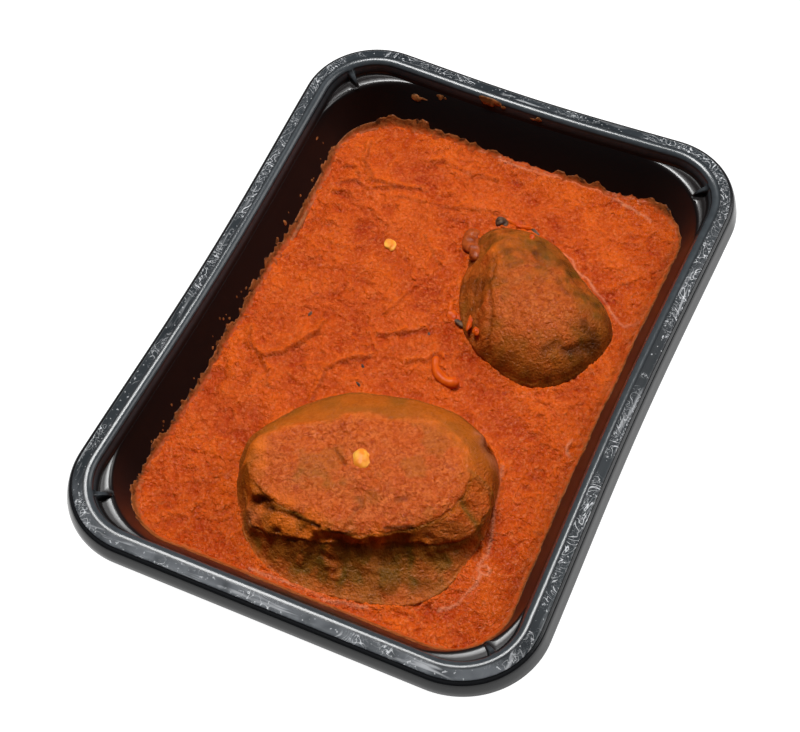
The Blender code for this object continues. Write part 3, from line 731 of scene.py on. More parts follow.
film_section = (
    (rise * 0.5, -0.05), (rise, -0.05), (rise, 0.10), (rise * 0.75, 0.20), (rise * 0.45 + level_there * 0.3, 0.28),
    (level_there + 0.25, 0.45), (level_there - 0.05, 0.95), (level_there - 0.6, 1.3), (sunk, 1.0),
)
for height, gap in film_section:
    lay_loop(film, film_loop(height, gap))
bpy.ops.mesh.select_all(action="SELECT")
bpy.ops.mesh.region_to_loop()
bpy.ops.mesh.bridge_edge_loops()
close_shape(film, cap=False)
bpy.ops.object.shade_smooth()
film_places = np.zeros(len(film.data.vertices), dtype=np.int32)
film.data.attributes["place"].data.foreach_get("value", film_places)
film_heights = np.array([vert.co.z / MM for vert in film.data.vertices]) - SAUCE_LEVEL
paint_on(film, "dried", smooth_step(0.1, 1.2, film_heights - level_there[film_places]))

browned = Finish("dried_sauce", 0.35, 0.2)
edge_colour = browned.mix(browned.painted("dried"), paint(186, 72, 18), paint(132, 72, 32))
speckle = browned.between(browned.noise(1.5, 3.0, 0.5), 0.42, 0.64)
edge_colour = browned.mix(browned.times(speckle, 0.6), edge_colour, paint(176, 100, 52))
thin_patches = browned.between(browned.noise(2.2, 2.0, 0.6, (0.5, 0.0, 0.2)), 0.56, 0.66)
thin_patches = browned.times(browned.times(thin_patches, browned.painted("dried")), 0.8)
browned.colour(browned.mix(thin_patches, edge_colour, paint(44, 24, 14)))
browned.bump(browned.noise(1.4, 3.0, 0.5), 0.5)
film.data.materials.append(browned.material)
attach(film, "root")


# Large stuffed pepper: cooked whole in the sauce until its skin went from green to khaki brown.
# A coat of sauce has set on its flat top. On the near side the skin hangs over in a lip with a ragged hem,
# and below it the rest of the skin slopes out to the sauce.
LARGE_TOP = 35.2
LARGE_AT_LIP = (18.0, 17.5, 17.5, 18.0, 19.5, 23.5, 27.5, 28.5, 26.5, 22.0, 19.0, 17.8,
                17.5, 17.5, 17.5, 18.2, 20.0, 23.0, 25.5, 27.5, 28.5, 27.5, 24.5, 21.0)
LARGE_AT_HEM = (28.0, 28.0, 28.0, 28.0, 29.0, 30.0, 31.0, 31.0, 30.0, 29.6, 26.5, 22.3,
                20.0, 18.8, 18.5, 19.6, 22.4, 28.8, 33.2, 34.4, 35.4, 34.4, 31.0, 29.0)
HEM_DEPTH = (9.0, 9.0, 9.0, 9.0, 9.0, 9.0, 9.0, 9.0, 8.5, 8.0, 7.0, 6.0,
             5.2, 4.8, 4.8, 5.2, 6.0, 6.8, 7.2, 7.4, 8.0, 8.8, 9.2, 9.0)
SECTORS = 280
RINGS = 170


def drawn_profile(stations, rings):
    """Smooth curves through a profile's stations, for every sector at once: rings by sectors by 2."""
    stations = np.array(stations)
    steps = np.hypot(*(stations[1:] - stations[:-1]).transpose(2, 0, 1)).mean(axis=1)
    steps[-5:] *= 0.45
    length = np.concatenate([[0.0], np.cumsum(steps)])
    place = np.interp(np.linspace(0.0, length[-1], rings + 1), length, np.arange(len(stations)))
    first_station = np.minimum(np.floor(place).astype(int), len(stations) - 2)
    t = (place - first_station)[:, None, None]
    last_station = len(stations) - 1
    a = stations[np.maximum(first_station - 1, 0)]
    b = stations[first_station]
    c = stations[first_station + 1]
    d = stations[np.minimum(first_station + 2, last_station)]
    bend = 2.0 * a - 5.0 * b + 4.0 * c - d + (3.0 * b - a - 3.0 * c + d) * t
    return b + 0.5 * t * (c - a + t * bend)


def turned_places(profile, centre, turns):
    """Turns a profile round a centre: x, y and z of every ring and sector."""
    angle = np.radians(turns)[None, :]
    x = centre[0] + profile[:, :, 0] * np.cos(angle)
    y = centre[1] + profile[:, :, 0] * np.sin(angle)
    return np.stack([x, y, profile[:, :, 1]], axis=2)


def outward(places):
    """Directions square to the surface at every ring and sector."""
    down = np.gradient(places, axis=0)
    around = np.roll(places, -1, axis=1) - np.roll(places, 1, axis=1)
    across = np.cross(down, around)
    length = np.linalg.norm(across, axis=2, keepdims=True)
    across = across / np.maximum(length, 1e-9)
    across[0] = (0.0, 0.0, 1.0)
    across[-1] = (0.0, 0.0, -1.0)
    return across


def pepper_body(name, places, paints):
    """A sphere primitive laid on the given rings and sectors, with its painted values."""
    bpy.ops.object.select_all(action="DESELECT")
    bpy.ops.mesh.primitive_uv_sphere_add(segments=SECTORS, ring_count=RINGS, radius=1.0)
    body = bpy.context.object
    body.name = name
    ball = np.array([vert.co[:] for vert in body.data.vertices])
    ring = np.round(np.arccos(np.clip(ball[:, 2], -1.0, 1.0)) / math.pi * RINGS).astype(int)
    sector = np.round(np.degrees(np.arctan2(ball[:, 1], ball[:, 0])) / 360.0 * SECTORS).astype(int) % SECTORS
    corners = places[ring, sector]
    for vert, point in zip(body.data.vertices, corners):
        vert.co = ((point[0] + CENTRING) * MM, point[1] * MM, point[2] * MM)
    for label, values in paints.items():
        layer = body.data.attributes.new(label, "FLOAT", "POINT")
        layer.data.foreach_set("value", np.clip(values[ring, sector], 0.0, 1.0).tolist())
    bpy.ops.object.mode_set(mode="EDIT")
    close_shape(body, cap=False)
    bpy.ops.object.shade_smooth()
    return body


turns = np.arange(SECTORS) * 360.0 / SECTORS
water = cyclic(LARGE_AT_SAUCE, turns)
ragged_edge = 0.5 * lumps(turns * 0.45, turns * 0.0, 3.0, 61) + 0.25 * lumps(turns * 0.45, turns * 0.0, 1.2, 62)
lip = cyclic(LARGE_AT_LIP, turns) + ragged_edge * 0.5
hem = cyclic(LARGE_AT_HEM, turns) + ragged_edge
hem_depth = cyclic(HEM_DEPTH, turns) + 0.8 * lumps(turns * 0.45, turns * 0.0, 4.0, 63)
side = water - lip
apron = water - hem
lap = hem - lip
drop = hem_depth - 3.0
folded = smooth_step(98.0, 128.0, turns) * (1.0 - smooth_step(280.0, 303.0, turns))
T = LARGE_TOP
S = SAUCE_LEVEL
above_sauce = T - hem_depth - S
smooth_side = [
    (lip * 0.0, T + 0.0), (lip * 0.35, T - 0.2), (lip * 0.7, T - 0.6), (lip * 0.88, T - 1.0),
    (lip * 0.97, T - 1.4), (lip + side * 0.07, T - 1.7), (lip + side * 0.14, T - 1.95),
    (lip + side * 0.21, T - 2.2), (lip + side * 0.33, T - 2.8), (lip + side * 0.47, T - 3.7),
    (lip + side * 0.58, T - 4.6), (lip + side * 0.68, T - 5.6), (lip + side * 0.78, T - 7.0),
    (lip + side * 0.87, T - 8.8), (lip + side * 0.94, T - 10.9), (lip + side * 0.985, S + 2.0),
]
folded_side = [
    (lip * 0.0, T + 0.0), (lip * 0.35, T - 0.2), (lip * 0.75, T - 0.75), (lip * 0.92, T - 1.15),
    (lip * 0.985, T - 1.45), (lip + 0.5, T - 1.8), (lip + 0.75 + lap * 0.06, T - 2.25),
    (lip + 1.1 + lap * 0.16, T - 2.65), (lip * 0.4 + hem * 0.6 + 0.5, T - 3.0 - drop * 0.42), (hem + 0.45, T - hem_depth),
    (hem + 0.5, T - hem_depth - 0.8), (hem + 0.9 + apron * 0.05, S + 0.78 * above_sauce),
    (hem + 0.6 + apron * 0.22, S + 0.56 * above_sauce), (hem + 0.3 + apron * 0.45, S + 0.37 * above_sauce),
    (hem + apron * 0.70, S + 0.20 * above_sauce), (hem + apron * 0.89, S + 0.08 * above_sauce),
]
below = [(water, S + 0.0), (water * 0.94, 15.0), (water * 0.87, 9.0), (water * 0.78, 4.4),
         (water * 0.65, 1.9), (water * 0.45, 1.2), (water * 0.0, 1.15)]
stations = []
for plain, lapped in zip(smooth_side, folded_side):
    radius = plain[0] * (1.0 - folded) + lapped[0] * folded
    height = plain[1] * (1.0 - folded) + lapped[1] * folded
    stations.append(np.column_stack([radius, height]))
for radius, height in below:
    stations.append(np.column_stack([radius, np.full(SECTORS, height)]))
places = turned_places(drawn_profile(stations, RINGS), LARGE_CENTRE, turns)
normals = outward(places)
x = places[:, :, 0]
y = places[:, :, 1]
z = places[:, :, 2]
turn_all = np.broadcast_to(turns, x.shape)
fold_strength = np.broadcast_to(folded, x.shape)
out = np.hypot(x - LARGE_CENTRE[0], y - LARGE_CENTRE[1])
above = smooth_step(S - 1.0, S + 2.0, z)
depth = T - z
skew = x * 0.8 + z * 0.7
skew_y = y - z * 0.25

# Where each kind of surface lies: the coat on top, the lip between its edge and its hem, the apron below
coat = 1.0 - smooth_step(0.90, 1.06, out / lip + 0.06 * lumps(x, y, 4.0, 21) + 0.03 * lumps(x, y, 1.5, 39))
coat = coat * smooth_step(4.0, 2.4, depth)
coat = np.maximum(coat, fold_strength * smooth_step(2.3, 2.0, depth))
on_lip = fold_strength * smooth_step(2.3, 2.9, depth) * smooth_step(hem_depth + 0.6, hem_depth - 0.4, depth)
on_apron = fold_strength * smooth_step(hem_depth + 1.5, hem_depth + 4.5, depth)
undercut = fold_strength * np.exp(-(((depth - hem_depth - 2.0) / 2.0) ** 2))
right_lobe = on_lip * smooth_step(238.0, 256.0, turn_all) * smooth_step(312.0, 300.0, turn_all)

strip_one = ((-61.6, 17.0), (-61.4, 9.4), (-62.0, 3.3), (-62.6, -2.5))
strip_two = ((-63.2, 15.5), (-63.4, 9.9), (-63.6, 4.1), (-63.8, -1.5))
grey_strip = ((-40.9, -30.2), (-43.2, -33.8), (-45.0, -38.5))
pale_ridge = ((-33.4, -30.2), (-33.5, -33.6), (-34.0, -37.8))
dark_patch = ((-15.6, -24.2), (-16.3, -27.4), (-17.7, -30.4), (-22.4, -31.5))
wet_patch = ((-20.0, -27.8), (-22.0, -29.9), (-24.2, -32.4), (-26.0, -34.0))
slit = ((-45.5, 27.2), (-49.5, 28.2), (-53.0, 27.4))
scratches = (((-41.8, 4.4), (-43.5, 2.2), (-45.4, -0.2)), ((-36.1, -14.1), (-38.7, -16.5), (-39.0, -18.9)))
pits = (((-52.7, -7.4), (-54.4, -9.3), (-56.5, -8.3)), ((-49.4, -17.3), (-48.2, -18.7)))
yellow_line = ((-22.2, -12.8), (-23.5, -19.2), (-25.7, -24.2), (-29.4, -28.7), (-33.6, -31.9))
apron_greens = (((-64.5, -3.0), (-69.0, -3.6)), ((-62.5, -17.5), (-66.5, -18.4)), ((-57.5, -24.0), (-60.5, -26.0), (-64.0, -28.0)),
                ((-68.5, -9.6), (-73.0, -10.6)), ((-60.5, -34.0), (-64.5, -36.0)))
amber_spots = ((-49.4, 22.0, 1.5), (-53.5, 19.9, 1.7), (-53.6, 25.0, 1.2), (-60.7, 12.8, 2.2), (-60.6, 8.6, 1.8), (-62.0, 2.0, 2.2), (-63.0, -2.0, 1.6), (-59.6, -16.2, 1.7), (-48.5, 24.4, 2.0))

warp_x = x + 1.2 * lumps(x, y, 6.0, 22)
warp_y = y + 1.2 * lumps(x, y, 6.0, 23)
grainy = 0.18 * ridges(warp_x, warp_y, 2.1, 24) + 0.13 * lumps(warp_x, warp_y, 1.1, 25)
wavy = 0.28 * lumps(x, y, 9.0, 26) + 0.16 * ridges(warp_x, warp_y, 5.0, 27)
side_lumps = 0.28 * lumps(skew, skew_y, 5.0, 28) + 0.18 * ridges(skew, skew_y, 2.4, 29)
grow = coat * (0.18 + 1.5 * wavy + 1.3 * grainy)
grow += (1.0 - coat) * (0.05 * lumps(warp_x, warp_y, 1.4, 30) + side_lumps * smooth_step(3.0, 6.0, depth))
grow += on_apron * (0.30 * lumps(x, y, 3.6, 31) + 0.26 * ridges(warp_x, warp_y, 1.9, 32) + 0.1 * lumps(x, y, 1.1, 33))
grow += fold_strength * smooth_step(2.3, 2.9, depth) * 0.25 * lumps(skew, skew_y, 1.8, 40)
grow += on_lip * smooth_step(215.0, 190.0, turn_all) * 0.9 * lumps(x, y, 2.8, 82)
grow -= 0.55 * (groove(x, y, strip_one, 0.5) + groove(x, y, strip_two, 0.5)) * (1.0 - coat)
grow += 0.35 * right_lobe * lumps(x, y, 6.0, 34)
grow -= 0.45 * groove(x, y, scratches[0], 0.55) * coat + 0.3 * groove(x, y, scratches[1], 0.6) * coat
grow -= 0.35 * groove(x, y, pits[0], 0.8) * coat + 0.3 * groove(x, y, pits[1], 0.9) * coat
grow += 0.4 * groove(x, y, pale_ridge, 0.7) * smooth_step(2.0, 3.0, depth)
grow -= 0.35 * groove(x, y, grey_strip, 0.8) * (1.0 - coat)
grow -= 0.8 * groove(x, y, dark_patch, 1.3)
grow += 0.5 * groove(x, y, wet_patch, 1.8) * (0.6 + 0.6 * lumps(x, y, 1.6, 45))
grow -= 1.1 * groove(x, y, slit, 0.9)
grow += 0.9 * np.exp(-(((x + 64.8) / 2.4) ** 2 + ((y - 17.0) / 3.2) ** 2))
grow -= 0.8 * groove(x, y, ((-61.8, 19.5), (-63.2, 12.6)), 0.8)
for spot_x, spot_y, size in amber_spots:
    grow += 0.55 * np.exp(-(((x - spot_x) / size) ** 2 + ((y - spot_y) / size) ** 2)) * (1.0 - coat)
places = places + normals * (grow * above)[:, :, None]
swell = 0.5 * np.sin(x * 0.19 + 1.0) * np.cos(y * 0.15 - 0.4)
swell += -0.9 * np.exp(-(((x + 58.0) / 5.0) ** 2 + ((y - 9.0) / 6.0) ** 2))
places[:, :, 2] += smooth_step(S + 1.0, S + 5.0, z) * swell
large_places = places

# Darker skin: painted shade in the crack under the coat's edge, under the hem, in the slit, the strips, the grooves and
# the pits; also along a dark line near the hem, in the dark patch, the scratches and random blotches on the apron
cracked = 0.25 + 0.75 * np.maximum(stretch_of(138.0, 170.0, 6.0, turn_all), stretch_of(226.0, 246.0, 5.0, turn_all))
shade_and_mottle = fold_strength * 0.4 * np.exp(-(((depth - 2.45) / 0.17) ** 2)) * cracked * (0.75 + 0.5 * lumps(x, y, 3.0, 46))
shade_and_mottle += 0.10 * undercut + 1.1 * groove(x, y, dark_patch, 2.3) * (1.0 - coat) + 0.45 * groove(x, y, slit, 1.0)
shade_and_mottle += 0.6 * (groove(x, y, strip_one, 0.5) + groove(x, y, strip_two, 0.5)) * (1.0 - coat)
shade_and_mottle += 0.5 * groove(x, y, ((-61.8, 19.5), (-63.2, 12.6)), 0.9)
shade_and_mottle += on_apron * (0.12 * smooth_step(0.05, 0.6, lumps(x, y, 4.0, 35)) + 0.14 * smooth_step(0.1, 0.5, lumps(x, y, 1.4, 47)))
shade_and_mottle += 0.4 * groove(x, y, pits[0], 0.8) * coat + 0.4 * groove(x, y, pits[1], 1.0) * coat
shade_and_mottle += 0.45 * groove(x, y, scratches[0], 0.5) * coat
shade_and_mottle += 0.8 * groove(x, y, ((-57.6, -17.2), (-56.0, -20.2), (-54.3, -23.4)), 0.5) * (1.0 - on_apron)
olive = on_apron * (0.25 + 0.35 * smooth_step(0.0, 0.6, lumps(x, y, 5.0, 36)))
for line in apron_greens:
    olive += 0.8 * groove(x + 0.6 * lumps(x, y, 2.5, 48), y, line, 1.1) * (1.0 - on_lip)
olive += 0.85 * groove(x, y, ((-52.7, 9.4), (-52.0, 3.9), (-51.5, -3.1)), 2.2) * coat * (0.7 + 0.7 * lumps(x, y, 2.0, 49))
olive += 0.9 * groove(x, y, grey_strip, 0.9) * (1.0 - coat) + 0.8 * groove(x, y, pale_ridge, 0.6)
olive += 0.7 * groove(x, y, ((-62.4, 16.2), (-62.4, 9.6), (-62.8, 3.7), (-63.2, -2.0)), 0.5) * (1.0 - coat)
olive += 0.5 * smooth_step(-0.2, 0.7, lumps(x, y, 6.0, 37)) * (1.0 - coat)
olive += 0.5 * smooth_step(0.0, 0.7, lumps(x, y, 7.0, 84) + 0.5 * lumps(x, y, 1.8, 85)) * coat
amber = 0.85 * on_lip * (1.0 - right_lobe) * smooth_step(-0.5, 0.3, lumps(x, y, 3.0, 65)) * smooth_step(112.0, 126.0, turn_all)
for spot_x, spot_y, size in amber_spots:
    amber += 0.8 * np.exp(-(((x - spot_x) / size) ** 2 + ((y - spot_y) / size) ** 2))
amber += 0.5 * coat * smooth_step(0.86, 0.98, out / lip) * (1.0 - fold_strength)
amber += 0.6 * groove(x, y, yellow_line, 0.8) * (0.7 + 0.6 * lumps(x, y, 2.0, 83))
reddened = coat + 0.85 * right_lobe * (1.0 - groove(x, y, grey_strip, 1.1)) + 0.8 * smooth_step(S + 2.2, S + 0.4, z)
reddened += on_apron * 0.5 * smooth_step(-0.1, 0.5, lumps(x, y, 2.4, 38))
reddened += 0.65 * on_lip * (1.0 - right_lobe) * smooth_step(-0.4, 0.3, lumps(x, y, 2.6, 81))
reddened += (1.0 - coat) * smooth_step(296.0, 312.0, turn_all) * smooth_step(338.0, 326.0, turn_all) * smooth_step(6.0, 9.0, depth)
pale = groove(x, y, wet_patch, 1.5) * (0.7 + 0.6 * lumps(x, y, 1.4, 67))
pale += 0.5 * np.exp(-(((x + 65.4) / 1.6) ** 2 + ((y - 17.0) / 2.6) ** 2))
large = pepper_body("pepper_large_skin", places, {
    "coat": reddened, "shade_and_mottle": shade_and_mottle, "olive": olive, "upper_tone_and_light": smooth_step(9.0, 3.0, depth), "amber": amber, "pale": pale,
})

skin = Finish("pepper_skin", 0.22, 0.12)
mottle = skin.between(skin.noise(4.0, 3.0, 0.6), 0.36, 0.66)
flecked = skin.between(skin.noise(1.2, 3.0, 0.8, (0.4, 0.0, 0.1)), 0.36, 0.64)
# The bare skin is lighter towards its top: partly its own tone, partly painted light from above
bare = skin.mix(skin.painted("upper_tone_and_light"), paint(150, 80, 22), paint(182, 88, 14))
bare = skin.mix(skin.times(mottle, 0.5), bare, paint(134, 60, 10))
bare = skin.mix(skin.times(flecked, 0.3), bare, paint(196, 108, 40))
bare = skin.mix(skin.painted("olive"), bare, paint(112, 76, 20))
film_colour = skin.mix(flecked, paint(164, 60, 8), paint(212, 108, 46))
film_colour = skin.mix(skin.times(mottle, 0.5), film_colour, paint(196, 78, 16))
surface = skin.mix(skin.painted("coat"), bare, film_colour)
olive_through = skin.times(skin.times(skin.painted("olive"), skin.painted("coat")), 0.7)
surface = skin.mix(olive_through, surface, paint(158, 96, 34))
surface = skin.mix(skin.times(skin.painted("amber"), 0.85), surface, paint(226, 110, 28))
surface = skin.mix(skin.times(skin.painted("pale"), 0.75), surface, paint(196, 116, 80))
# Painted shade and darker blotches, mixed over the skin's colour
skin.colour(skin.mix(skin.painted("shade_and_mottle"), surface, paint(66, 28, 6)))
skin.bump(skin.noise(0.8, 3.0, 0.5), 0.7)
large.data.materials.append(skin.material)
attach(large, "root")
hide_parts("pepper_large")


# Small stuffed pepper: the same, lying with its stem end towards the far wall.
# Its skin is folded over on the left in a flap, and a thinner coat of sauce clings to its crown.
SMALL_TOP = 32.6
T = SMALL_TOP
water = cyclic(SMALL_AT_SAUCE, turns)
stations = [
    (water * 0.0, T + 0.0), (water * 0.2, T - 0.1), (water * 0.42, T - 0.9), (water * 0.62, T - 2.4),
    (water * 0.79, T - 4.8), (water * 0.91, T - 7.8), (water * 0.97, T - 10.4), (water, S + 0.0),
    (water * 0.99, 15.0), (water * 0.93, 9.0), (water * 0.84, 4.4), (water * 0.68, 1.9),
    (water * 0.45, 1.2), (water * 0.0, 1.15),
]
stations = [np.column_stack([radius, np.full(SECTORS, height)]) for radius, height in stations]
places = turned_places(drawn_profile(stations, RINGS), SMALL_CENTRE, turns)
normals = outward(places)
x = places[:, :, 0]
y = places[:, :, 1]
z = places[:, :, 2]
depth = T - z
above = smooth_step(S - 1.0, S + 2.0, z)
bend_x = x + 0.7 * lumps(x, y, 4.0, 50)
bend_y = y + 0.5 * lumps(x, y, 2.5, 68)
crease = ((34.5, -9.4), (28.8, -10.4), (24.8, -11.5), (20.2, -13.8), (16.0, -15.8), (12.1, -16.6), (8.5, -19.0))
flap_folds = (((30.1, -6.6), (25.0, -7.1), (20.2, -9.0), (15.4, -12.0)), ((27.0, -8.8), (21.0, -10.6), (16.0, -13.4)))
flap_side = smooth_step(0.0, 2.5, (y + 11.4) + 0.30 * (24.8 - x)) * smooth_step(38.0, 33.0, x)
pocket = ((14.8, -38.6), (17.9, -40.8), (20.5, -43.6))
streaks = (((44.5, -13.0), (40.3, -18.6), (35.4, -25.2), (29.8, -33.0)), ((47.0, -17.0), (43.0, -23.4), (38.0, -30.2), (33.0, -38.0)),
           ((42.8, -10.5), (38.7, -15.7), (34.4, -21.6)), ((45.8, -21.5), (41.6, -28.0), (37.4, -34.0)))
coat_from = np.hypot((x - 22.0) / 15.0, (y + 25.5) / 15.0)
coat = 1.0 - smooth_step(0.55, 1.15, coat_from + 0.25 * lumps(x, y, 4.0, 51) + 0.12 * lumps(x, y, 1.6, 69))
warp_x = x + 1.2 * lumps(x, y, 6.0, 52)
warp_y = y + 1.2 * lumps(x, y, 6.0, 53)
grow = coat * (0.15 + 0.22 * ridges(warp_x, warp_y, 1.9, 54) + 0.14 * lumps(warp_x, warp_y, 1.0, 55))
grow += (1.0 - coat) * (0.22 * lumps(x, y, 4.5, 56) + 0.2 * ridges(warp_x, warp_y, 2.2, 57))
grow += 0.3 * lumps(x, y, 9.0, 58)
grow -= 0.45 * groove(bend_x, bend_y, crease, 0.7)
grow += 0.35 * groove(bend_x, bend_y, ((33.0, -12.0), (26.0, -13.4), (20.0, -16.4), (13.0, -19.4)), 1.6)
for line in flap_folds:
    grow -= 0.2 * groove(bend_x, bend_y, line, 0.6)
for line in streaks:
    grow -= 0.22 * groove(bend_x, bend_y, line, 0.8) * (0.8 + 0.8 * lumps(x, y, 5.0, 70))
grow -= 0.7 * groove(bend_x, y, pocket, 1.3) + 0.4 * groove(x, bend_y, ((12.0, -33.5), (15.5, -36.5)), 1.2)
grow -= 0.6 * smooth_step(37.0, 43.0, x) * smooth_step(-12.0, -6.0, y)
grow -= 1.9 * np.exp(-(((x - 38.2) / 3.2) ** 2 + ((y + 2.4) / 3.0) ** 2))
places = places + normals * (grow * above)[:, :, None]
places[:, :, 2] -= smooth_step(S + 1.0, S + 5.0, z) * flap_side * 1.9
small_places = places
# Darker skin: painted shade in the crease, the folds, the streaks, the pocket, along the lower right and on the lower
# side; the skin is also darker towards the far end and in random blotches
shade_and_mottle = 0.4 * groove(bend_x, bend_y, crease, 0.6) * (0.8 + 0.6 * lumps(x, y, 3.0, 73))
for line in flap_folds:
    shade_and_mottle += 0.22 * groove(bend_x, bend_y, line, 0.6)
for line in streaks:
    shade_and_mottle += 0.28 * groove(bend_x, bend_y, line, 0.9) * (0.8 + 0.9 * lumps(x, y, 4.0, 74))
shade_and_mottle += 0.6 * groove(bend_x, y, pocket, 1.5) + 0.4 * groove(x, bend_y, ((12.0, -33.5), (15.5, -36.5)), 1.3)
shade_and_mottle += 0.3 * groove(x, y, ((23.8, -39.4), (22.3, -44.5), (17.2, -45.0), (12.5, -42.4)), 2.6)
shade_and_mottle += 0.14 * smooth_step(6.0, 10.5, depth) + 0.12 * smooth_step(20.0, 32.0, x) + 0.35 * smooth_step(0.0, 0.6, lumps(x, y, 2.6, 66)) * (1.0 - coat)
olive = 1.0 * groove(x, y, ((19.8, -6.4), (21.4, -5.8)), 1.3)
olive += (0.3 + 0.3 * smooth_step(24.0, 34.0, x)) * smooth_step(-0.1, 0.6, lumps(x, y, 5.0, 59)) + 0.3 * smooth_step(0.1, 0.6, lumps(x, y, 1.8, 75))
olive = olive * (1.0 - coat)
stained = 0.5 * groove(x, y, ((45.1, -6.4), (43.5, -11.7), (40.0, -9.0), (37.0, -8.2)), 2.2)
stained += 0.45 * smooth_step(0.0, 0.6, lumps(x, y, 3.0, 64)) * smooth_step(26.0, 36.0, x) + 0.35 * flap_side
amber = np.zeros(np.shape(x))
for spot_x, spot_y, size in ((46.0, -15.9, 1.2), (41.2, -8.3, 1.1), (36.4, -9.4, 1.5), (41.0, -12.4, 1.6), (37.5, -6.8, 1.6), (33.2, -11.4, 1.0), (38.6, -6.6, 1.2)):
    amber += 0.9 * np.exp(-(((x - spot_x) / size) ** 2 + ((y - spot_y) / size) ** 2))
amber += 0.35 * smooth_step(0.2, 0.6, lumps(x, y, 2.4, 76)) * smooth_step(24.0, 34.0, x)
# Its upper side is painted lighter too, as on the large pepper but less
small = pepper_body("pepper_small_skin", places, {
    "coat": coat * 0.75 + stained, "shade_and_mottle": shade_and_mottle, "olive": olive, "upper_tone_and_light": smooth_step(10.0, 3.0, depth) * 0.4,
    "amber": amber * 0.8, "pale": coat * 0.0,
})
small.data.materials.append(skin.material)
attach(small, "root")
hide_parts("pepper_small")


# Hooked piece of orange vegetable, about 9 mm across, lying half sunk in the sauce.
# It is soft and glossy, thicker at its hooked end and thin at its tail.
piece_x = (3.7, 1.6, -0.7, -2.4, -3.4, -3.3, -1.2)
piece_y = (-4.6, -5.0, -6.0, -7.9, -10.2, -12.4, -13.0)


def along_line(t, values):
    """A smooth value at a share of the way along evenly spaced stops."""
    place = t * (len(values) - 1)
    near = np.arange(len(values))
    weights = np.exp(-(((near - place) / 0.75) ** 2))
    return float(np.sum(weights * np.array(values)) / np.sum(weights))


def piece_loop(t, girth):
    """One ring of the piece, square to its bent centre line."""
    middle_x = along_line(t, piece_x)
    middle_y = along_line(t, piece_y)
    ahead_x = along_line(t + 0.03, piece_x) - along_line(t - 0.03, piece_x)
    ahead_y = along_line(t + 0.03, piece_y) - along_line(t - 0.03, piece_y)
    heading = math.atan2(ahead_y, ahead_x)
    angle = np.arange(28) * 2.0 * math.pi / 28
    wide = girth * np.cos(angle)
    tall = girth * 0.85 * np.sin(angle)
    return np.column_stack([
        middle_x - wide * math.sin(heading), middle_y + wide * math.cos(heading), SAUCE_LEVEL + 0.75 + tall,
    ])


piece_steps = [0.5 - 0.5 * math.cos(math.pi * step / 34.0) for step in range(35)]
piece_girths = [
    (0.95 + 0.85 * t) * math.sqrt(max(0.0, 1.0 - (2.0 * t - 1.0) ** 8)) + 0.05
    + 0.12 * math.sin(t * 17.0) * (1.0 - (2.0 * t - 1.0) ** 8) for t in piece_steps
]
piece = start_loop("vegetable_hook", piece_loop(piece_steps[0], piece_girths[0]), "NGON")
for t, girth in zip(piece_steps[1:], piece_girths[1:]):
    lay_loop(piece, piece_loop(t, girth))
close_shape(piece)
bpy.ops.object.shade_smooth()
orange = Finish("orange_vegetable", 0.35, 0.12)
orange_tone = orange.between(orange.noise(2.5, 2.0), 0.35, 0.7)
orange.colour(orange.mix(orange_tone, paint(196, 66, 6), paint(218, 94, 12)))
orange.bump(orange.noise(1.0, 2.0), 0.08)
piece.data.materials.append(orange.material)
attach(piece, "root")
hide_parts("vegetable_piece")


# Small bits of vegetable that lie on the sauce and the peppers, each stuck in the sauce it was cooked in:
# soft orange shreds, pale grains, dark remains of stem and herb, and a pink knob of flesh at a stem end.
def surface_at(x, y):
    """Height of the food's surface at a place: a pepper's where one is there, or else the sauce's."""
    height = float(sauce_top(np.array([x]), np.array([y]))[0])
    for body in (large_places, small_places):
        near = np.hypot(body[:, :, 0] - x, body[:, :, 1] - y) < 0.7
        if near.any():
            height = max(height, float(body[near][:, 2].max()))
    return height


def add_lump(number, size, middle, run, rise):
    """One uneven lump of the given length, width and height, its length along run and its width along rise."""
    bpy.ops.object.select_all(action="DESELECT")
    bpy.ops.mesh.primitive_ico_sphere_add(subdivisions=4, radius=1.0)
    lump = bpy.context.object
    corners = np.array([vert.co[:] for vert in lump.data.vertices])
    uneven = 1.0 + 0.25 * lumps(corners[:, 0] + number, corners[:, 1] + corners[:, 2] * 0.7, 0.8, 71)
    uneven += 0.14 * lumps(corners[:, 0] - number, corners[:, 2] + corners[:, 1] * 0.6, 0.35, 72)
    corners = corners * uneven[:, None] * (size[0] / 2.0, size[1] / 2.0, size[2] / 2.0)
    corners = corners @ np.array([run, rise, np.cross(run, rise)]) + middle
    for vert, point in zip(lump.data.vertices, corners):
        vert.co = ((point[0] + CENTRING) * MM, point[1] * MM, point[2] * MM)
    bpy.ops.object.shade_smooth()
    return lump


def join_lumps(name, made, finish):
    """Joins lumps in one piece and gives it its material."""
    bpy.ops.object.select_all(action="DESELECT")
    for lump in made:
        lump.select_set(True)
    bpy.context.view_layer.objects.active = made[0]
    bpy.ops.object.join()
    joined = bpy.context.object
    joined.name = name
    joined.data.materials.append(finish.material)
    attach(joined, "root")


def add_bits(name, bits, finish):
    """One piece made of bits on the food: each has its place, length, width, height, turn and how deep it is sunk."""
    made = []
    for number, (x, y, length, width, tall, turn, sunk) in enumerate(bits):
        lean = math.radians(turn)
        middle = np.array([x, y, surface_at(x, y) + tall * (0.5 - sunk)])
        run = np.array([math.cos(lean), math.sin(lean), 0.0])
        rise = np.array([-math.sin(lean), math.cos(lean), 0.0])
        made.append(add_lump(number, (length, width, tall), middle, run, rise))
    join_lumps(name, made, finish)


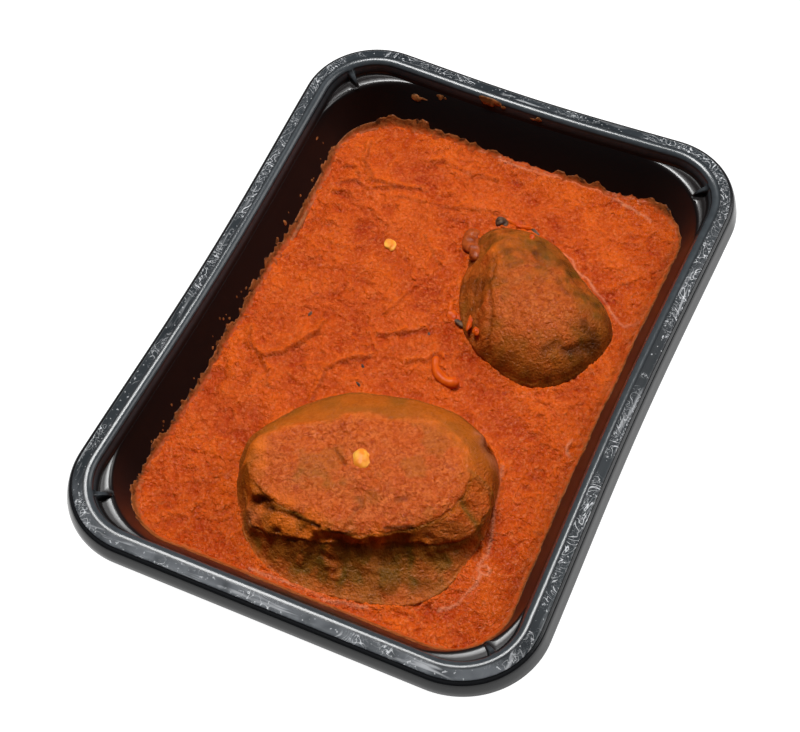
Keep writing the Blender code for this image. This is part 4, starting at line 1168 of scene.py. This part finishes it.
add_bits("orange_shreds", (
    (18.5, -3.2, 5.0, 2.8, 1.3, 60.0, 0.6), (20.4, -1.6, 3.4, 1.6, 1.1, 20.0, 0.55), (15.2, -9.6, 5.0, 1.5, 1.2, 12.0, 0.5),
    (13.0, -12.6, 2.6, 1.8, 1.2, 30.0, 0.5), (55.2, -6.2, 4.4, 1.4, 1.2, 82.0, 0.45), (54.6, -10.0, 4.6, 1.3, 1.1, 104.0, 0.45),
    (46.4, -15.7, 2.0, 1.7, 0.9, 30.0, 0.5),
    (9.6, 6.4, 1.8, 1.2, 0.8, 0.0, 0.55), (25.8, 12.4, 1.8, 1.0, 0.8, 70.0, 0.55), (4.6, -6.2, 2.6, 0.8, 0.7, 40.0, 0.5),
), orange)

pale = Finish("pale_grain", 0.35, 0.15)
pale_tone = pale.between(pale.noise(2.4, 2.0), 0.4, 0.65)
pale.colour(pale.mix(pale_tone, paint(236, 136, 40), paint(255, 186, 76)))
pale.bump(pale.noise(0.9, 1.0), 0.1)
add_bits("pale_grains", (
    (34.0, 23.5, 4.0, 3.0, 1.2, 30.0, 0.7), (-42.3, -3.7, 5.4, 4.0, 1.4, 40.0, 0.65),
), pale)

dark = Finish("stem_remains", 0.45, 0.2)
dark_tone = dark.between(dark.noise(1.5, 2.0), 0.4, 0.65)
dark.colour(dark.mix(dark_tone, paint(60, 34, 20), paint(112, 82, 58)))
dark.bump(dark.noise(0.8, 2.0), 0.2)
add_bits("stem_remains", (
    (54.0, -3.4, 3.8, 3.2, 1.9, 30.0, 0.55), (54.4, -13.6, 3.6, 1.4, 1.1, 60.0, 0.5), (15.8, -6.3, 3.0, 1.5, 0.9, 70.0, 0.55),
    (-7.8, 12.9, 2.2, 0.9, 0.5, 40.0, 0.55), (-13.4, 11.8, 1.6, 0.8, 0.5, 60.0, 0.55), (2.9, 34.6, 1.6, 1.0, 0.5, 0.0, 0.55),
    (9.8, 0.6, 1.8, 0.9, 0.5, 20.0, 0.55),
), dark)

flesh = Finish("pink_flesh", 0.3, 0.2)
flesh_tone = flesh.between(flesh.noise(2.4, 3.0, 0.5), 0.4, 0.62)
flesh.colour(flesh.mix(flesh_tone, paint(132, 52, 14), paint(170, 78, 30)))
flesh.bump(flesh.noise(1.1, 3.0), 0.3)
add_bits("flesh_knob", (
    (43.0, 1.4, 7.0, 4.8, 2.6, 30.0, 0.55), (46.6, 3.0, 4.6, 4.4, 2.2, 10.0, 0.6), (39.4, -1.0, 5.0, 3.8, 2.0, 40.0, 0.6),
), flesh)


# Splashes on the wall: drops of sauce that dried where they landed when the meal was moved and heated.
def wall_spot(side, along, z):
    """A place on the far end wall, or on the left wall, at a height."""
    inset = inner_wall(z)[0]
    if side == "far":
        half = FLANGE_LENGTH / 2.0 - inset - end_lean(z)
        bow = BOW_FAR_END * math.cos(math.pi * along / FLANGE_WIDTH) ** 2 * half / (FLANGE_LENGTH / 2.0)
        return np.array([half - bow, along, z])
    half = FLANGE_WIDTH / 2.0 - inset
    bow = BOW_LEFT * math.cos(math.pi * along / FLANGE_LENGTH) ** 2 * half / (FLANGE_WIDTH / 2.0)
    return np.array([along, half - bow, z])


# Each splash: its wall, place along it, height, length along the wall, length up the wall and thickness
splashes = (
    ("far", 36.6, 28.6, 3.2, 1.8, 0.6), ("far", 34.2, 29.0, 2.8, 0.5, 0.3), ("far", 29.0, 30.9, 2.2, 1.6, 0.35),
    ("far", 27.4, 31.0, 0.9, 0.8, 0.3), ("far", 13.4, 34.7, 6.4, 2.4, 0.8), ("far", 9.0, 34.2, 1.4, 1.2, 0.4),
    ("far", 14.8, 33.6, 1.2, 0.6, 0.3), ("far", -2.4, 34.0, 2.0, 1.3, 0.5), ("far", -0.6, 33.6, 1.3, 0.6, 0.3),
    ("left", 27.3, 23.2, 1.3, 1.9, 0.35), ("left", 21.2, 22.6, 1.2, 1.5, 0.3), ("left", 13.2, 22.8, 0.8, 1.1, 0.25),
    ("left", 1.7, 23.6, 1.0, 0.8, 0.25), ("left", -0.6, 24.5, 0.7, 0.6, 0.2), ("left", 2.6, 22.4, 1.6, 0.7, 0.25),
    ("left", 55.9, 28.7, 1.4, 0.8, 0.2), ("left", -17.4, 22.4, 0.9, 0.8, 0.25), ("left", -19.8, 22.6, 0.8, 0.9, 0.2),
)
chance = np.random.default_rng(5)
for count in range(24):
    speck = float(chance.uniform(0.25, 0.85))
    splashes += (("left", float(chance.uniform(-54.0, 60.0)), 22.0 + 4.5 * float(chance.uniform()) ** 2, speck, speck * 1.3, 0.16),)
made = []
for number, (side, along, z, length, tall, thick) in enumerate(splashes):
    run = wall_spot(side, along + 0.5, z) - wall_spot(side, along - 0.5, z)
    rise = wall_spot(side, along, z + 0.3) - wall_spot(side, along, z - 0.3)
    run = run / np.linalg.norm(run)
    rise = rise / np.linalg.norm(rise)
    made.append(add_lump(number, (length, tall, thick), wall_spot(side, along, z), run, rise))
splashed = Finish("dried_splash", 0.4, 0.2)
splash_tone = splashed.between(splashed.noise(2.0, 2.0), 0.4, 0.62)
splashed.colour(splashed.mix(splash_tone, paint(104, 62, 30), paint(176, 112, 62)))
splashed.bump(splashed.noise(0.9, 2.0), 0.15)
join_lumps("wall_splashes", made, splashed)
